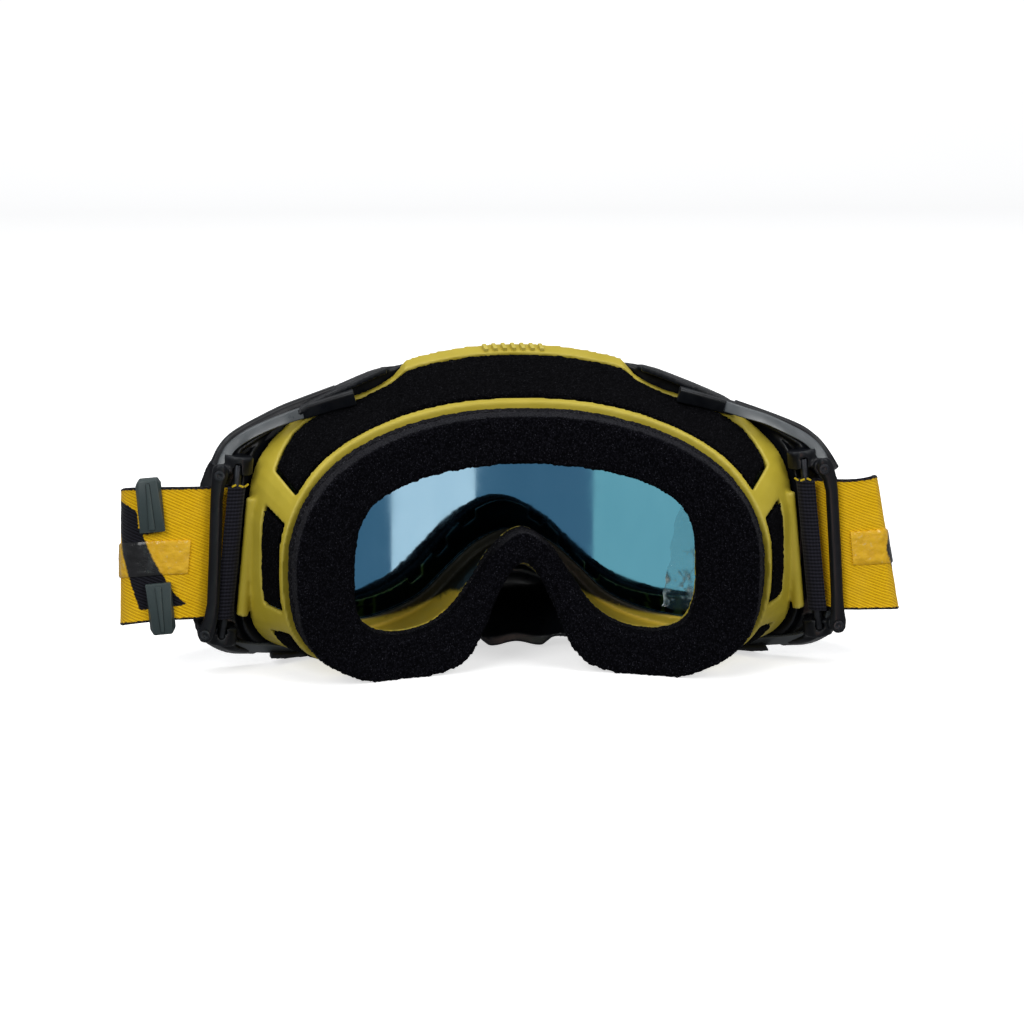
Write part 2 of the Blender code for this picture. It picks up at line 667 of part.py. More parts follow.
def strap_slider():
    """Adjuster: a plate in front of the strap, end walls, and two tabs that hold the strap's edges."""
    half_height, tab, wall = 24.0, 16.0, 1.5
    plate, back, front, face = 9.8, 11.6, 14.8, 16.6
    profile = [
        (plate, -half_height), (plate, half_height), (face, half_height), (face, half_height - tab),
        (front, half_height - tab), (front, half_height - wall), (back, half_height - wall),
        (back, wall - half_height), (front, wall - half_height), (front, tab - half_height),
        (face, tab - half_height), (face, -half_height),
    ]
    shape = bmesh.new()
    sides = []
    for sign in (-1, 1):
        ring = []
        for y, z in profile:
            half = 2.8 if abs(z) > half_height - 0.1 else 3.9
            ring.append(shape.verts.new(Vector((sign * half, y, z)) * MM))
        sides.append(ring)
    count = len(profile)
    for n in range(count):
        m = (n + 1) % count
        shape.faces.new((sides[0][n], sides[0][m], sides[1][m], sides[1][n]))
    shape.faces.new(sides[0][::-1])
    shape.faces.new(sides[1])
    bmesh.ops.recalc_face_normals(shape, faces=shape.faces)
    mesh = bpy.data.meshes.new("strap_slider")
    shape.to_mesh(mesh)
    shape.free()
    made = add_object("strap_slider", mesh, SLATE)
    made.location = (SLIDER_X * MM, 0, SLIDER_Z * MM)
    made.rotation_euler = (0, SLIDER_TILT, 0)
    return made


def tear_off_post(side, label):
    """Mushroom post on the lens that tear-off films hook over."""
    x, z = 72.0, 47.0
    out = Vector((side * x / LENS_RADIUS, -math.sqrt(1 - (x / LENS_RADIUS) ** 2), 0))
    foot = Vector((side * x, lens_y(x), z)) + out * (LENS_THICKNESS / 2 + 0.3)
    name = f"tear_off_post_{label}"
    made = add_object(name, rod_mesh(name, foot, foot + out * 2.6, 1.4, 16), BLACK)
    head = rod_mesh(name + "_head", foot + out * 1.8, foot + out * 3.2, 2.4, 20, 1.8)
    return boolean(made, add_object(head.name, head, None, CUTTERS), "UNION")


def build():
    face_frame()
    lens()
    lens_film()
    outer_frame()
    nose_guard()
    foam_layer("face_foam_base", FOAM_BASE, GREY_FOAM)
    face = foam_layer("face_foam_face", FOAM_FACE, BLACK_FOAM)
    table = add_object("table_cut", box_mesh("table_cut", (-90, -20, -10), (90, 70, 0)), None, CUTTERS)
    boolean(face, table, "DIFFERENCE")
    vent_foam("vent_foam_top", -WINDOWS["top"][1], WINDOWS["top"][1])
    strap()
    silicone_grip()
    strap_slider()
    for side, label in ((1, "left"), (-1, "right")):
        for window in ("side", "low", "cheek"):
            span = sorted(side * u for u in WINDOWS[window])
            vent_foam(f"vent_foam_{window}_{label}", *span)
        strap_pin(side, label)
        keeper(side, label)
        for place, z in KEEPER_SCREWS.items():
            screw(side, label, place, z)
        tear_off_post(side, label)


build()
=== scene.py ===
"""Looks of the motorcycle goggles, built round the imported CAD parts.

Sizes are in millimetres, turned into metres by MM. +X is the wearer's left, -Y the way the wearer looks,
+Z up. The CAD nodes stay as they are: the pieces shown are copies, rounded, swollen or reshaped.
"""

import math

import bmesh
import bpy
import numpy as np
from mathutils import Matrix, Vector, noise


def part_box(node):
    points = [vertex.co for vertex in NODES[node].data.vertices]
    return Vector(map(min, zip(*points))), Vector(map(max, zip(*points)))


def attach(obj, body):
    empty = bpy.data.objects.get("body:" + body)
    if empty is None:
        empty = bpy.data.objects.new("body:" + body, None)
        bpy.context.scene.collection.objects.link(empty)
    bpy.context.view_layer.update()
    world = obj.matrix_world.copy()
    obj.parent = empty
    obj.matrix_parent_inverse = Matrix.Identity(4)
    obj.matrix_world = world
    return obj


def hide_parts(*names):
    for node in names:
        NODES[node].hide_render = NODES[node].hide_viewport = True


MM = 0.001
WELD = 0.002  # points closer than this become one
ON_PLANE = 1e-7  # tolerance of a cut, in metres
SCENE = bpy.context.scene

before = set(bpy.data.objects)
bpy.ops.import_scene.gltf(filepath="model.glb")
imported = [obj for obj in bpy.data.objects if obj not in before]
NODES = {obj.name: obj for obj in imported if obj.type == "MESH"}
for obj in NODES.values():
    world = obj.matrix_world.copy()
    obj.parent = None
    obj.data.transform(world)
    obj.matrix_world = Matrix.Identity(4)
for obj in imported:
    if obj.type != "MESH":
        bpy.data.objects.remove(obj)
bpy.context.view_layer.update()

# --- driving dimensions, mm, as in the CAD source --------------------------------------------------
LENS_RADIUS, LENS_DEPTH, LENS_BENT_TO = 105.0, 36.0, 78.0
LENS_THICKNESS = 1.0
PIN_X, PIN_Y, PIN_RADIUS = 90.2, 12.2, 1.3
STRAP_WIDTH, STRAP_THICKNESS = 41.5, 1.2
STRAP_LOW, STRAP_FRONT_LOW = 17.7, 0.0
LEAN, LEAN_LEVEL = 0.11, 38.5
SELVEDGE = 0.8

# The goggles are symmetric about the middle of the face frame, and the lens front marks the depth.
_low, _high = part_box("face_frame")
SHIFT = Vector(((_low.x + _high.x) / 2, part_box("lens")[0].y + (LENS_DEPTH + LENS_THICKNESS / 2) * MM, 0))


# --- small helpers --------------------------------------------------------------------------------
def placed(x, y, z):
    """A point given in mm from the goggles' middle, in metres in the shared frame."""
    return Vector((x, y, z)) * MM + SHIFT


def smooth(low, high, value):
    """0 up to low, 1 from high, and an S curve between."""
    t = min(1.0, max(0.0, (value - low) / (high - low)))
    return t * t * (3 - 2 * t)


def hermite(knots, u):
    """A smooth curve through knots (u, x, y) read at u, where u counts the knots."""
    last = len(knots) - 2
    i = min(int(u), last)

    def slope(n):
        a, b = knots[max(n - 1, 0)], knots[min(n + 1, len(knots) - 1)]
        return [(q - p) / (b[0] - a[0]) for p, q in zip(a[1:], b[1:])]

    a, b = knots[i], knots[i + 1]
    t = u - a[0]
    h = (2 * t**3 - 3 * t**2 + 1, t**3 - 2 * t**2 + t, 3 * t**2 - 2 * t**3, t**3 - t**2)
    return [
        h[0] * p + h[1] * mp + h[2] * q + h[3] * mq
        for p, q, mp, mq in zip(a[1:], b[1:], slope(i), slope(i + 1))
    ]


def lens_y(x):
    """Depth of the lens at half width x: a cylinder, then its tangent."""
    bent = min(abs(x), LENS_BENT_TO)
    rise = math.sqrt(LENS_RADIUS**2 - bent**2)
    return LENS_RADIUS - LENS_DEPTH - rise + (abs(x) - bent) * bent / rise


# --- materials ------------------------------------------------------------------------------------
class Look:
    """A procedural material: noise and attributes drive one Principled shader."""

    def __init__(self, name, **sockets):
        self.made = bpy.data.materials.new(name)
        self.made.use_nodes = True
        self.tree = self.made.node_tree
        self.shader = self.tree.nodes["Principled BSDF"]
        self.place = self.node("ShaderNodeTexCoord").outputs["Object"]
        for socket, value in sockets.items():
            self.shader.inputs[socket.replace("_", " ")].default_value = value

    def node(self, kind, inputs=None, **settings):
        made = self.tree.nodes.new(kind)
        for key, value in settings.items():
            setattr(made, key, value)
        for key, value in (inputs or {}).items():
            self.feed(made.inputs[key], value)
        return made

    def feed(self, socket, value):
        """Links a socket to another, or sets it to a number or colour."""
        if isinstance(value, bpy.types.NodeSocket):
            self.tree.links.new(value, socket)
        else:
            socket.default_value = value

    def stretched(self, scale):
        """Object coordinates scaled along each axis."""
        return self.node("ShaderNodeMapping", {"Vector": self.place, "Scale": scale}).outputs["Vector"]

    def grain(self, size, detail=2.0, vector=None):
        """Noise from 0 to 1 with features of that size in mm."""
        inputs = {"Vector": vector or self.place, "Scale": 1 / (size * MM), "Detail": detail}
        return self.node("ShaderNodeTexNoise", inputs).outputs["Fac"]

    def cells(self, size):
        """Distance from the middle of the nearest cell, for cells of that size in mm."""
        inputs = {"Vector": self.place, "Scale": 1 / (size * MM)}
        return self.node("ShaderNodeTexVoronoi", inputs).outputs["Distance"]

    def ramp(self, value, *stops):
        """Colours at places along a value: (place, colour) pairs."""
        made = self.node("ShaderNodeValToRGB", {"Fac": value})
        ramp = made.color_ramp
        while len(ramp.elements) < len(stops):
            ramp.elements.new(0.5)
        for element, (place, colour) in zip(ramp.elements, stops):
            element.position = place
            element.color = (*colour, 1) if isinstance(colour, tuple) else (colour, colour, colour, 1)
        return made.outputs["Color"]

    def span(self, value, low, high, start=0.0, end=1.0):
        """Brings a value between low and high to one between start and end."""
        inputs = {"Value": value, "From Min": low, "From Max": high, "To Min": start, "To Max": end}
        return self.node("ShaderNodeMapRange", inputs).outputs["Result"]

    def mix(self, share, a, b):
        """Colour a where share is 0 and colour b where it is 1."""
        made = self.node("ShaderNodeMix", data_type="RGBA")
        for socket, value in zip((made.inputs[0], made.inputs[6], made.inputs[7]), (share, a, b)):
            self.feed(socket, (*value, 1) if isinstance(value, tuple) else value)
        return made.outputs[2]

    def maths(self, operation, *values):
        made = self.node("ShaderNodeMath", operation=operation)
        for socket, value in zip(made.inputs, values):
            self.feed(socket, value)
        return made.outputs[0]

    def strap_place(self):
        """mm along and across the strap, from its UV map."""
        uv = self.node("ShaderNodeUVMap", uv_map="strap").outputs["UV"]
        split = self.node("ShaderNodeSeparateXYZ", {"Vector": uv})
        return split.outputs["X"], split.outputs["Y"]

    def attribute(self, name):
        return self.node("ShaderNodeAttribute", attribute_name=name).outputs["Fac"]

    def pointiness(self, low, high):
        """0 on flat parts, 1 on outer edges."""
        return self.span(self.node("ShaderNodeNewGeometry").outputs["Pointiness"], low, high)

    def colour(self, socket):
        self.feed(self.shader.inputs["Base Color"], socket)

    def roughness(self, value, low, high):
        """Roughness from low to high, as a noise goes from its usual low to its usual high."""
        self.feed(self.shader.inputs["Roughness"], self.span(value, 0.3, 0.7, low, high))

    def bump(self, *layers):
        """Bumps laid over each other: (height, depth in mm)."""
        normal = None
        for height, depth in layers:
            inputs = {"Height": height, "Distance": depth * MM, "Strength": 1.0}
            if normal:
                inputs["Normal"] = normal
            normal = self.node("ShaderNodeBump", inputs).outputs["Normal"]
        self.feed(self.shader.inputs["Normal"], normal)


def yellow_rubber():
    """Yellow rubber: painted shade, dark, inside the nose arch, and a painted highlight, brighter, on the lip
    below it, both read from attributes.
    """
    look = Look("yellow_rubber_moulding", Specular_IOR_Level=0.3)
    blotch = look.grain(14, 3)
    base = look.ramp(blotch, (0.3, (0.46, 0.36, 0.024)), (0.7, (0.54, 0.43, 0.045)))
    # paler along the edges, in patches
    pale_edges = look.maths("MULTIPLY", look.pointiness(0.515, 0.56), look.grain(3, 4))
    lit = look.mix(pale_edges, base, (0.64, 0.54, 0.12))
    # painted highlight on the lip below the nose arch
    lit = look.mix(look.attribute("sill_highlight"), lit, (0.9, 0.64, 0.06))
    # painted shade, near black, inside the nose arch
    look.colour(look.mix(look.attribute("deep"), lit, (0.012, 0.011, 0.004)))
    look.roughness(look.grain(5, 4), 0.42, 0.58)
    look.bump((look.grain(0.35, 3), 0.03), (look.grain(6, 2), 0.12))
    return look.made


def black_plastic(name, gloss, dark, light):
    """Black plastic between two tones, paler along its edges in patches."""
    look = Look(name, Specular_IOR_Level=gloss)
    base = look.ramp(look.grain(9, 3), (0.3, dark), (0.7, light))
    # paler along the edges, in patches
    pale_edges = look.maths("MULTIPLY", look.pointiness(0.52, 0.58), look.grain(2, 4))
    look.colour(look.mix(pale_edges, base, (0.035, 0.04, 0.047)))
    look.roughness(look.grain(4, 5), 0.26, 0.44)
    look.bump((look.grain(0.3, 2), 0.012), (look.grain(8, 2), 0.08))
    return look.made


def slate_plastic():
    look = Look("slate_plastic_moulding", Specular_IOR_Level=0.4)
    base = look.ramp(look.grain(3, 3), (0.3, (0.009, 0.018, 0.021)), (0.7, (0.015, 0.028, 0.031)))
    # paler on the edges: a painted highlight
    look.colour(look.mix(look.pointiness(0.51, 0.57), base, (0.045, 0.065, 0.066)))
    look.roughness(look.grain(1.5, 4), 0.34, 0.5)
    look.bump((look.grain(0.4, 2), 0.02))
    return look.made


def foam(name, dark, light, speck, cut=None):
    """Open foam: dark cells, lighter strands, bright fibre ends, and other colours on its cut sides."""
    look = Look(name, Specular_IOR_Level=0.04, Roughness=1.0)
    cells = look.cells(0.75)
    strands = look.grain(0.45, 4)
    base = look.ramp(strands, (0.35, dark), (0.65, light))
    fibres = look.span(look.grain(0.3, 1), 0.66, 0.74)
    shaded = look.mix(look.span(cells, 0.1, 0.6), base, dark)
    if cut:
        bare = look.mix(look.span(strands, 0.35, 0.65), *cut)
        shaded = look.mix(look.attribute("cut"), shaded, bare)
    look.colour(look.mix(fibres, shaded, speck))
    look.bump((cells, 0.25), (strands, 0.2))
    return look.made


def blackened_steel():
    look = Look("steel_blackened", Metallic=0.8)
    look.colour(look.ramp(look.grain(2, 3), (0.3, (0.022, 0.024, 0.028)), (0.7, (0.04, 0.043, 0.05))))
    look.roughness(look.grain(1, 3, look.stretched((1, 1, 0.1))), 0.28, 0.45)
    return look.made


def blue_lens():
    """Blue mirror coating, with faint smears."""
    look = Look("blue_lens_mirror", Metallic=1.0, Alpha=0.97, Coat_Weight=0.1, Coat_Roughness=0.02)
    smear = look.grain(18, 4, look.stretched((1, 1, 0.35)))
    look.colour(look.ramp(smear, (0.3, (0.068, 0.2, 0.325)), (0.7, (0.082, 0.225, 0.355))))
    look.roughness(look.grain(9, 5), 0.025, 0.06)
    return look.made


def clear_film():
    """Thin protective film: nearly clear, milky where it is creased."""
    look = Look("clear_film_creased", Base_Color=(0.8, 0.9, 0.93, 1), Specular_IOR_Level=0.8)
    crease = look.attribute("crease")
    look.feed(look.shader.inputs["Alpha"], look.span(crease, 0.25, 0.95, 0.05, 0.75))
    look.colour(look.ramp(crease, (0.2, (0.16, 0.32, 0.4)), (0.9, (0.7, 0.86, 0.92))))
    look.roughness(look.grain(2, 3), 0.06, 0.16)
    look.bump((look.grain(1.2, 3), 0.15))
    return look.made


def graphic_share(look, softness):
    """1 inside the printed black graphic, with a woven edge."""
    ragged = look.maths("MULTIPLY_ADD", look.grain(0.9, 2), 0.9, -0.45)
    return look.span(look.maths("ADD", look.attribute("graphic"), ragged), softness, -softness)


def webbing_face():
    """Yellow twill with printed graphic and black selvedges."""
    look = Look("webbing_yellow_twill", Specular_IOR_Level=0.12, Sheen_Weight=0.08, Sheen_Roughness=0.5)
    along, across = look.strap_place()
    turn, pitch = math.radians(24), 0.88  # of the diagonal ribs
    stitch, slant = 1.3, 1.9  # of the stitches along them
    frayed = 0.12
    wobble = look.maths("MULTIPLY", look.grain(4, 2), 1.6)
    rib = look.maths("MULTIPLY_ADD", across, 2 * math.pi * math.cos(turn) / pitch, wobble)
    rib = look.maths("SINE", look.maths("MULTIPLY_ADD", along, -2 * math.pi * math.sin(turn) / pitch, rib))
    step = look.maths("MULTIPLY_ADD", across, 2 * math.pi * slant / stitch, wobble)
    step = look.maths("SINE", look.maths("MULTIPLY_ADD", along, 2 * math.pi / stitch, step))
    weave = look.maths("MULTIPLY_ADD", step, 0.4, rib)
    weave = look.maths("ADD", weave, look.maths("MULTIPLY_ADD", look.grain(0.5, 3), 1.6, -0.8))
    height = look.span(weave, -1.6, 1.6)
    # the yellow and the black print are darker in the valleys of the weave: painted shade
    yellows = ((0.1, (0.66, 0.33, 0.002)), (0.5, (0.92, 0.53, 0.005)), (0.9, (0.97, 0.62, 0.01)))
    base = look.ramp(height, *yellows)
    faded = look.mix(look.span(look.grain(7, 3), 0.45, 0.75, 0, 0.2), base, (0.95, 0.6, 0.05))
    black = look.ramp(height, (0.2, (0.003, 0.003, 0.005)), (0.9, (0.016, 0.016, 0.024)))
    edge = look.maths("MINIMUM", across, look.maths("SUBTRACT", STRAP_WIDTH, across))
    edge = look.maths("ADD", edge, look.maths("MULTIPLY_ADD", look.grain(0.7, 2), 0.9, -0.45))
    edge = look.span(edge, SELVEDGE + frayed, SELVEDGE - frayed)
    printed = look.maths("MAXIMUM", graphic_share(look, 0.15), edge)
    look.colour(look.mix(printed, faded, black))
    look.roughness(height, 0.95, 0.75)
    look.bump((height, 0.16))
    return look.made


def webbing_back():
    """Black reverse with fine ribs along the strap."""
    look = Look("webbing_black_reverse", Specular_IOR_Level=0.12, Sheen_Weight=0.06, Sheen_Roughness=0.5)
    along, across = look.strap_place()
    pitch, stitch = 1.1, 0.9
    rib = look.maths("SINE", look.maths("MULTIPLY", across, 2 * math.pi / pitch))
    knot = look.maths("SINE", look.maths("MULTIPLY", along, 2 * math.pi / stitch))
    weave = look.maths("MULTIPLY_ADD", knot, 0.35, rib)
    height = look.span(look.maths("ADD", weave, look.grain(0.5, 2)), -1.2, 2.2)
    # darker in the valleys of the ribs: painted shade
    look.colour(look.ramp(height, (0.2, (0.004, 0.004, 0.007)), (0.9, (0.02, 0.02, 0.03))))
    look.roughness(height, 0.95, 0.75)
    look.bump((height, 0.2))
    return look.made


def loose_thread():
    """Plain yellow yarn, for the thread ends."""
    look = Look("webbing_yellow_thread", Specular_IOR_Level=0.12)
    look.colour(look.ramp(look.grain(0.4, 3), (0.3, (0.35, 0.24, 0.01)), (0.7, (0.75, 0.55, 0.03))))
    look.roughness(look.grain(0.4, 2), 0.8, 0.95)
    return look.made


def silicone():
    """Clear silicone over the print: it takes the colour beneath and a wet, wrinkled gloss."""
    look = Look("clear_silicone_grip", Specular_IOR_Level=0.5, Coat_Weight=0.35, Coat_Roughness=0.12)
    wrinkle = look.grain(2.2, 4, look.stretched((0.6, 1, 1)))
    # both colours are darker in the troughs of the wrinkles: painted shade
    base = look.ramp(wrinkle, (0.35, (0.8, 0.44, 0.003)), (0.7, (0.93, 0.54, 0.008)))
    milky = look.mix(look.span(look.grain(1.6, 4), 0.62, 0.74, 0, 0.4), base, (0.9, 0.8, 0.4))
    black = look.ramp(wrinkle, (0.35, (0.003, 0.003, 0.004)), (0.7, (0.012, 0.012, 0.014)))
    look.colour(look.mix(graphic_share(look, 0.3), milky, black))
    look.roughness(wrinkle, 0.2, 0.36)
    look.bump((wrinkle, 0.5), (look.grain(0.7, 3), 0.08))
    return look.made


YELLOW = yellow_rubber()
BLACK = black_plastic("black_plastic_moulding", 0.24, (0.003, 0.0035, 0.005), (0.006, 0.007, 0.010))
# a paler copy of the black plastic for the chamfered rails: a painted highlight
BLACK_RAIL_PAINTED_HIGHLIGHT = black_plastic("black_plastic_rail_painted_highlight", 0.8, (0.055, 0.064, 0.07), (0.085, 0.097, 0.105))
SLATE = slate_plastic()
STEEL = blackened_steel()
LENS = blue_lens()
FILM = clear_film()
CUT_SIDES = ((0.007, 0.007, 0.009), (0.034, 0.034, 0.039))
FLEECE = ((0.0015, 0.0015, 0.0025), (0.013, 0.013, 0.018), (0.055, 0.055, 0.07))
FOAM_BLACK = foam("foam_black_fleece", *FLEECE, CUT_SIDES)
FOAM_GREY = foam("foam_grey_core", *CUT_SIDES, (0.14, 0.14, 0.15))
FOAM_VENT = foam("foam_vent_black", (0.001, 0.001, 0.0015), (0.007, 0.007, 0.0085), (0.04, 0.04, 0.048))
TWILL = webbing_face()
REVERSE = webbing_back()
TWILL_THREAD = loose_thread()
SILICONE = silicone()


# --- mesh work ------------------------------------------------------------------------------------
def new_object(name, mesh):
    made = bpy.data.objects.new(name, mesh)
    SCENE.collection.objects.link(made)
    return made


def object_from(shape, name):
    """A new object that takes over a worked shape."""
    mesh = bpy.data.meshes.new(name)
    shape.to_mesh(mesh)
    shape.free()
    return new_object(name, mesh)


def opened(made):
    """The object's mesh as a shape to work on."""
    shape = bmesh.new()
    shape.from_mesh(made.data)
    return shape


def closed(shape, made):
    """Puts a worked shape back."""
    shape.to_mesh(made.data)
    shape.free()


def cut(shape, point, normal):
    """Cuts every face that a plane crosses, and keeps both sides."""
    geometry = shape.verts[:] + shape.edges[:] + shape.faces[:]
    bmesh.ops.bisect_plane(shape, geom=geometry, plane_co=point, plane_no=normal, dist=ON_PLANE)


def write_attribute(mesh, name, values):
    """A number for each point, which a material can read."""
    mesh.attributes.new(name, "FLOAT", "POINT").data.foreach_set("value", values)


def copy_of(node, name):
    """A welded copy of a CAD node's shape, free of its imported normals."""
    old = NODES[node].data
    mesh = bpy.data.meshes.new(name)
    mesh.from_pydata([v.co[:] for v in old.vertices], [], [tuple(p.vertices) for p in old.polygons])
    made = new_object(name, mesh)
    shape = opened(made)
    bmesh.ops.remove_doubles(shape, verts=shape.verts, dist=WELD * MM)
    bmesh.ops.recalc_face_normals(shape, faces=shape.faces)
    closed(shape, made)
    return made


def settle(made):
    """Applies the modifiers."""
    graph = bpy.context.evaluated_depsgraph_get()
    mesh = bpy.data.meshes.new_from_object(made.evaluated_get(graph))
    old = made.data
    made.modifiers.clear()
    made.data = mesh
    bpy.data.meshes.remove(old)
    return made


def add_modifier(made, kind, **settings):
    step = made.modifiers.new(kind.lower(), kind)
    for key, value in settings.items():
        setattr(step, key, value)
    return step


def remeshed(made, voxel, rounds):
    """An even skin of small faces with its edges rounded."""
    add_modifier(made, "REMESH", mode="VOXEL", voxel_size=voxel * MM)
    add_modifier(made, "SMOOTH", iterations=rounds, factor=0.5)
    return settle(made)


def coordinates(mesh):
    found = np.zeros(len(mesh.vertices) * 3, np.float32)
    mesh.vertices.foreach_get("co", found)
    return found.reshape(-1, 3).astype(float)


SWELL_PRESSURE, SWELL_FRAMES = 3.0, 12


def swollen(made, most):
    """Cloth simulation: the skin swells from inside, and no point moves further than most."""
    rest = coordinates(made.data)
    cloth = made.modifiers.new("cloth", "CLOTH")
    cloth.settings.use_pressure = True
    cloth.settings.uniform_pressure_force = SWELL_PRESSURE
    cloth.settings.effector_weights.gravity = 0
    cloth.settings.quality = 4
    for number in range(1, SWELL_FRAMES + 1):
        SCENE.frame_set(number)
    graph = bpy.context.evaluated_depsgraph_get()
    moved = coordinates(made.evaluated_get(graph).data) - rest
    made.modifiers.clear()
    SCENE.frame_set(1)
    far = np.linalg.norm(moved, axis=1, keepdims=True)
    moved *= np.minimum(1.0, most * MM / np.maximum(far, 1e-9))
    made.data.vertices.foreach_set("co", (rest + moved).astype(np.float32).ravel())
    made.data.update()
    return made


def roughened(made, size, depth):
    """Moves every point along its normal by fine noise, as on foam and fleece."""
    points = coordinates(made.data)
    normals = np.array([v.normal[:] for v in made.data.vertices])
    shift = np.array([noise.noise(Vector(p) / (size * MM)) for p in points])
    coarse = np.array([noise.noise(Vector(p) / (size * 4 * MM)) for p in points])
    points += normals * ((shift + 0.5 * coarse) * depth * MM)[:, None]
    made.data.vertices.foreach_set("co", points.astype(np.float32).ravel())
    made.data.update()


def shaded(made, degrees=180.0):
    """Smooth shading, with edges sharper than that angle kept crisp."""
    made.data.shade_smooth()
    if degrees < 180:
        made.data.set_sharp_from_angle(angle=math.radians(degrees))


def dress(made, look, body, slot, *replaced):
    """Material, CAD body, record slot (not used) and the CAD nodes that the piece stands for."""
    if look:
        made.data.materials.clear()
        made.data.materials.append(look)
    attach(made, body)
    if replaced:
        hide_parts(*replaced)
    return made


def moulded(node, name, look, slot, voxel, rounds, keep, body="frame"):
    """A moulded part: the CAD shape with rounded edges, and that share of its faces kept."""
    made = remeshed(copy_of(node, name), voxel, rounds)
    if keep < 1:
        add_modifier(made, "DECIMATE", ratio=keep)
        settle(made)
    shaded(made)
    return dress(made, look, body, slot, node)


def bevelled(made, width, corner):
    """Bevels the edges that turn by more than corner, in degrees."""
    limit = math.radians(corner)
    add_modifier(made, "BEVEL", width=width * MM, segments=2, limit_method="ANGLE", angle_limit=limit)
    settle(made)


def turned(node, name, look, slot, body="frame", edge=0.15):
    """A small turned or cut part: the CAD shape with a fine bevel."""
    made = copy_of(node, name)
    shape = opened(made)
    flat, corner = 3, 35  # degrees
    bmesh.ops.dissolve_limit(shape, angle_limit=math.radians(flat), verts=shape.verts, edges=shape.edges)
    closed(shape, made)
    bevelled(made, edge, corner)
    shaded(made, corner)
    return dress(made, look, body, slot, node)


def mark_cut_sides(mesh):
    """Writes 1 to the attribute cut on the sides that face away from the middle, and 0 on the face."""
    middle = placed(0, 0, 40)
    values = []
    for vertex in mesh.vertices:
        out = Vector((vertex.co.x - middle.x, 0, vertex.co.z - middle.z)).normalized()
        values.append(smooth(0.5, 0.85, vertex.normal.dot(out)))
    write_attribute(mesh, "cut", values)


def paint_arch_shade_and_highlight(mesh):
    """Attributes for the wall inside the eye opening: a painted highlight on the lip that catches light, and
    painted shade above it, under the nose arch and on faces turned to the lens.
    """
    width = 4 * MM  # of the columns in which the depth of the flange is kept
    flange = {}
    for vertex in NODES["face_foam_base"].data.vertices:
        column = round(vertex.co.x / width)
        flange[column] = min(flange.get(column, 1.0), vertex.co.y)
    deep, sill_highlight = [], []
    for vertex in mesh.vertices:
        x, y, z = (vertex.co - SHIFT) / MM
        lip = 12.63 + 0.0094 * max(0.0, 52 - max(abs(x), 21))**2  # the lip rises towards the nose
        level = 0.985 * z - 0.174 * y  # and leans
        behind = (flange.get(round(vertex.co.x / width), -1.0) - vertex.co.y) / MM
        wall = max(1 - smooth(0.5, 0.8, abs(vertex.normal.y)), smooth(5, 8, behind))
        wall *= smooth(0.6, 1.8, behind) * (1 - smooth(60, 64, abs(x))) * (1 - smooth(52, 56, z))
        # painted shade on the wall above the lip
        above = smooth(-0.3, 0.9, level - lip)
        # painted shade on faces turned down near the nose
        under = smooth(0.1, 0.4, -vertex.normal.z) if abs(x) < 30 and z < 48 else 0.0
        # painted shade on faces turned to the lens, so that the lens mirrors them dark
        front = smooth(0.4, 0.7, -vertex.normal.y) if behind > 2 and abs(x) < 75 else 0.0
        deep.append(max(above * wall, under, front))
        # painted highlight on the upward faces of the lip
        sill_highlight.append((1 - above) * wall * smooth(0.1, 0.4, vertex.normal.z))
    write_attribute(mesh, "deep", deep)
    write_attribute(mesh, "sill_highlight", sill_highlight)


def soft(node, name, look, slot, voxel, rounds, fuzz, puff=0, fine=1):
    """A foam part: remeshed, swollen by up to puff, subdivided fine times and roughened by fuzz."""
    made = remeshed(copy_of(node, name), voxel, rounds)
    if puff:
        swollen(made, puff)
    add_modifier(made, "SUBSURF", levels=fine, render_levels=fine)
    settle(made)
    mark_cut_sides(made.data)
    roughened(made, 0.75, fuzz)
    shaded(made)
    dress(made, look, "frame", slot, node)
    return made


# --- foams ----------------------------------------------------------------------------------------
soft("face_foam_face", "foam_face_fleece", FOAM_BLACK, "black_foam", 1.1, 5, fuzz=0.42, puff=0.5)
soft("face_foam_base", "foam_face_core", FOAM_GREY, "grey_foam", 1.1, 4, fuzz=0.3, puff=0.5)
soft("vent_foam_top", "foam_vent_top", FOAM_VENT, "black_foam", 0.9, 2, fuzz=0.3)
for label in ("left", "right"):
    for window in ("side", "low", "cheek"):
        node = f"vent_foam_{window}_{label}"
        soft(node, f"foam_vent_{window}_{label}", FOAM_VENT, "black_foam", 0.7, 2, fuzz=0.25, fine=0)


# --- mouldings ------------------------------------------------------------------------------------
def flared_foot(guard):
    """The foot of the nose guard flares out and back, and ends in a wavy lip."""
    wider, back, lip = 0.32, 9, 1.4
    wave_height, wave_length = 0.6, 2.4
    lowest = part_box("nose_guard")[0].z
    for vertex in guard.data.vertices:
        foot = 1 - smooth(9, 21, vertex.co.z / MM)
        vertex.co.x = SHIFT.x + (vertex.co.x - SHIFT.x) * (1 + wider * foot)
        wave = wave_height * math.cos((vertex.co.x - SHIFT.x) / (wave_length * MM))
        vertex.co.z -= foot * (lowest - (lip + wave) * MM)
        vertex.co.y += foot * back * MM


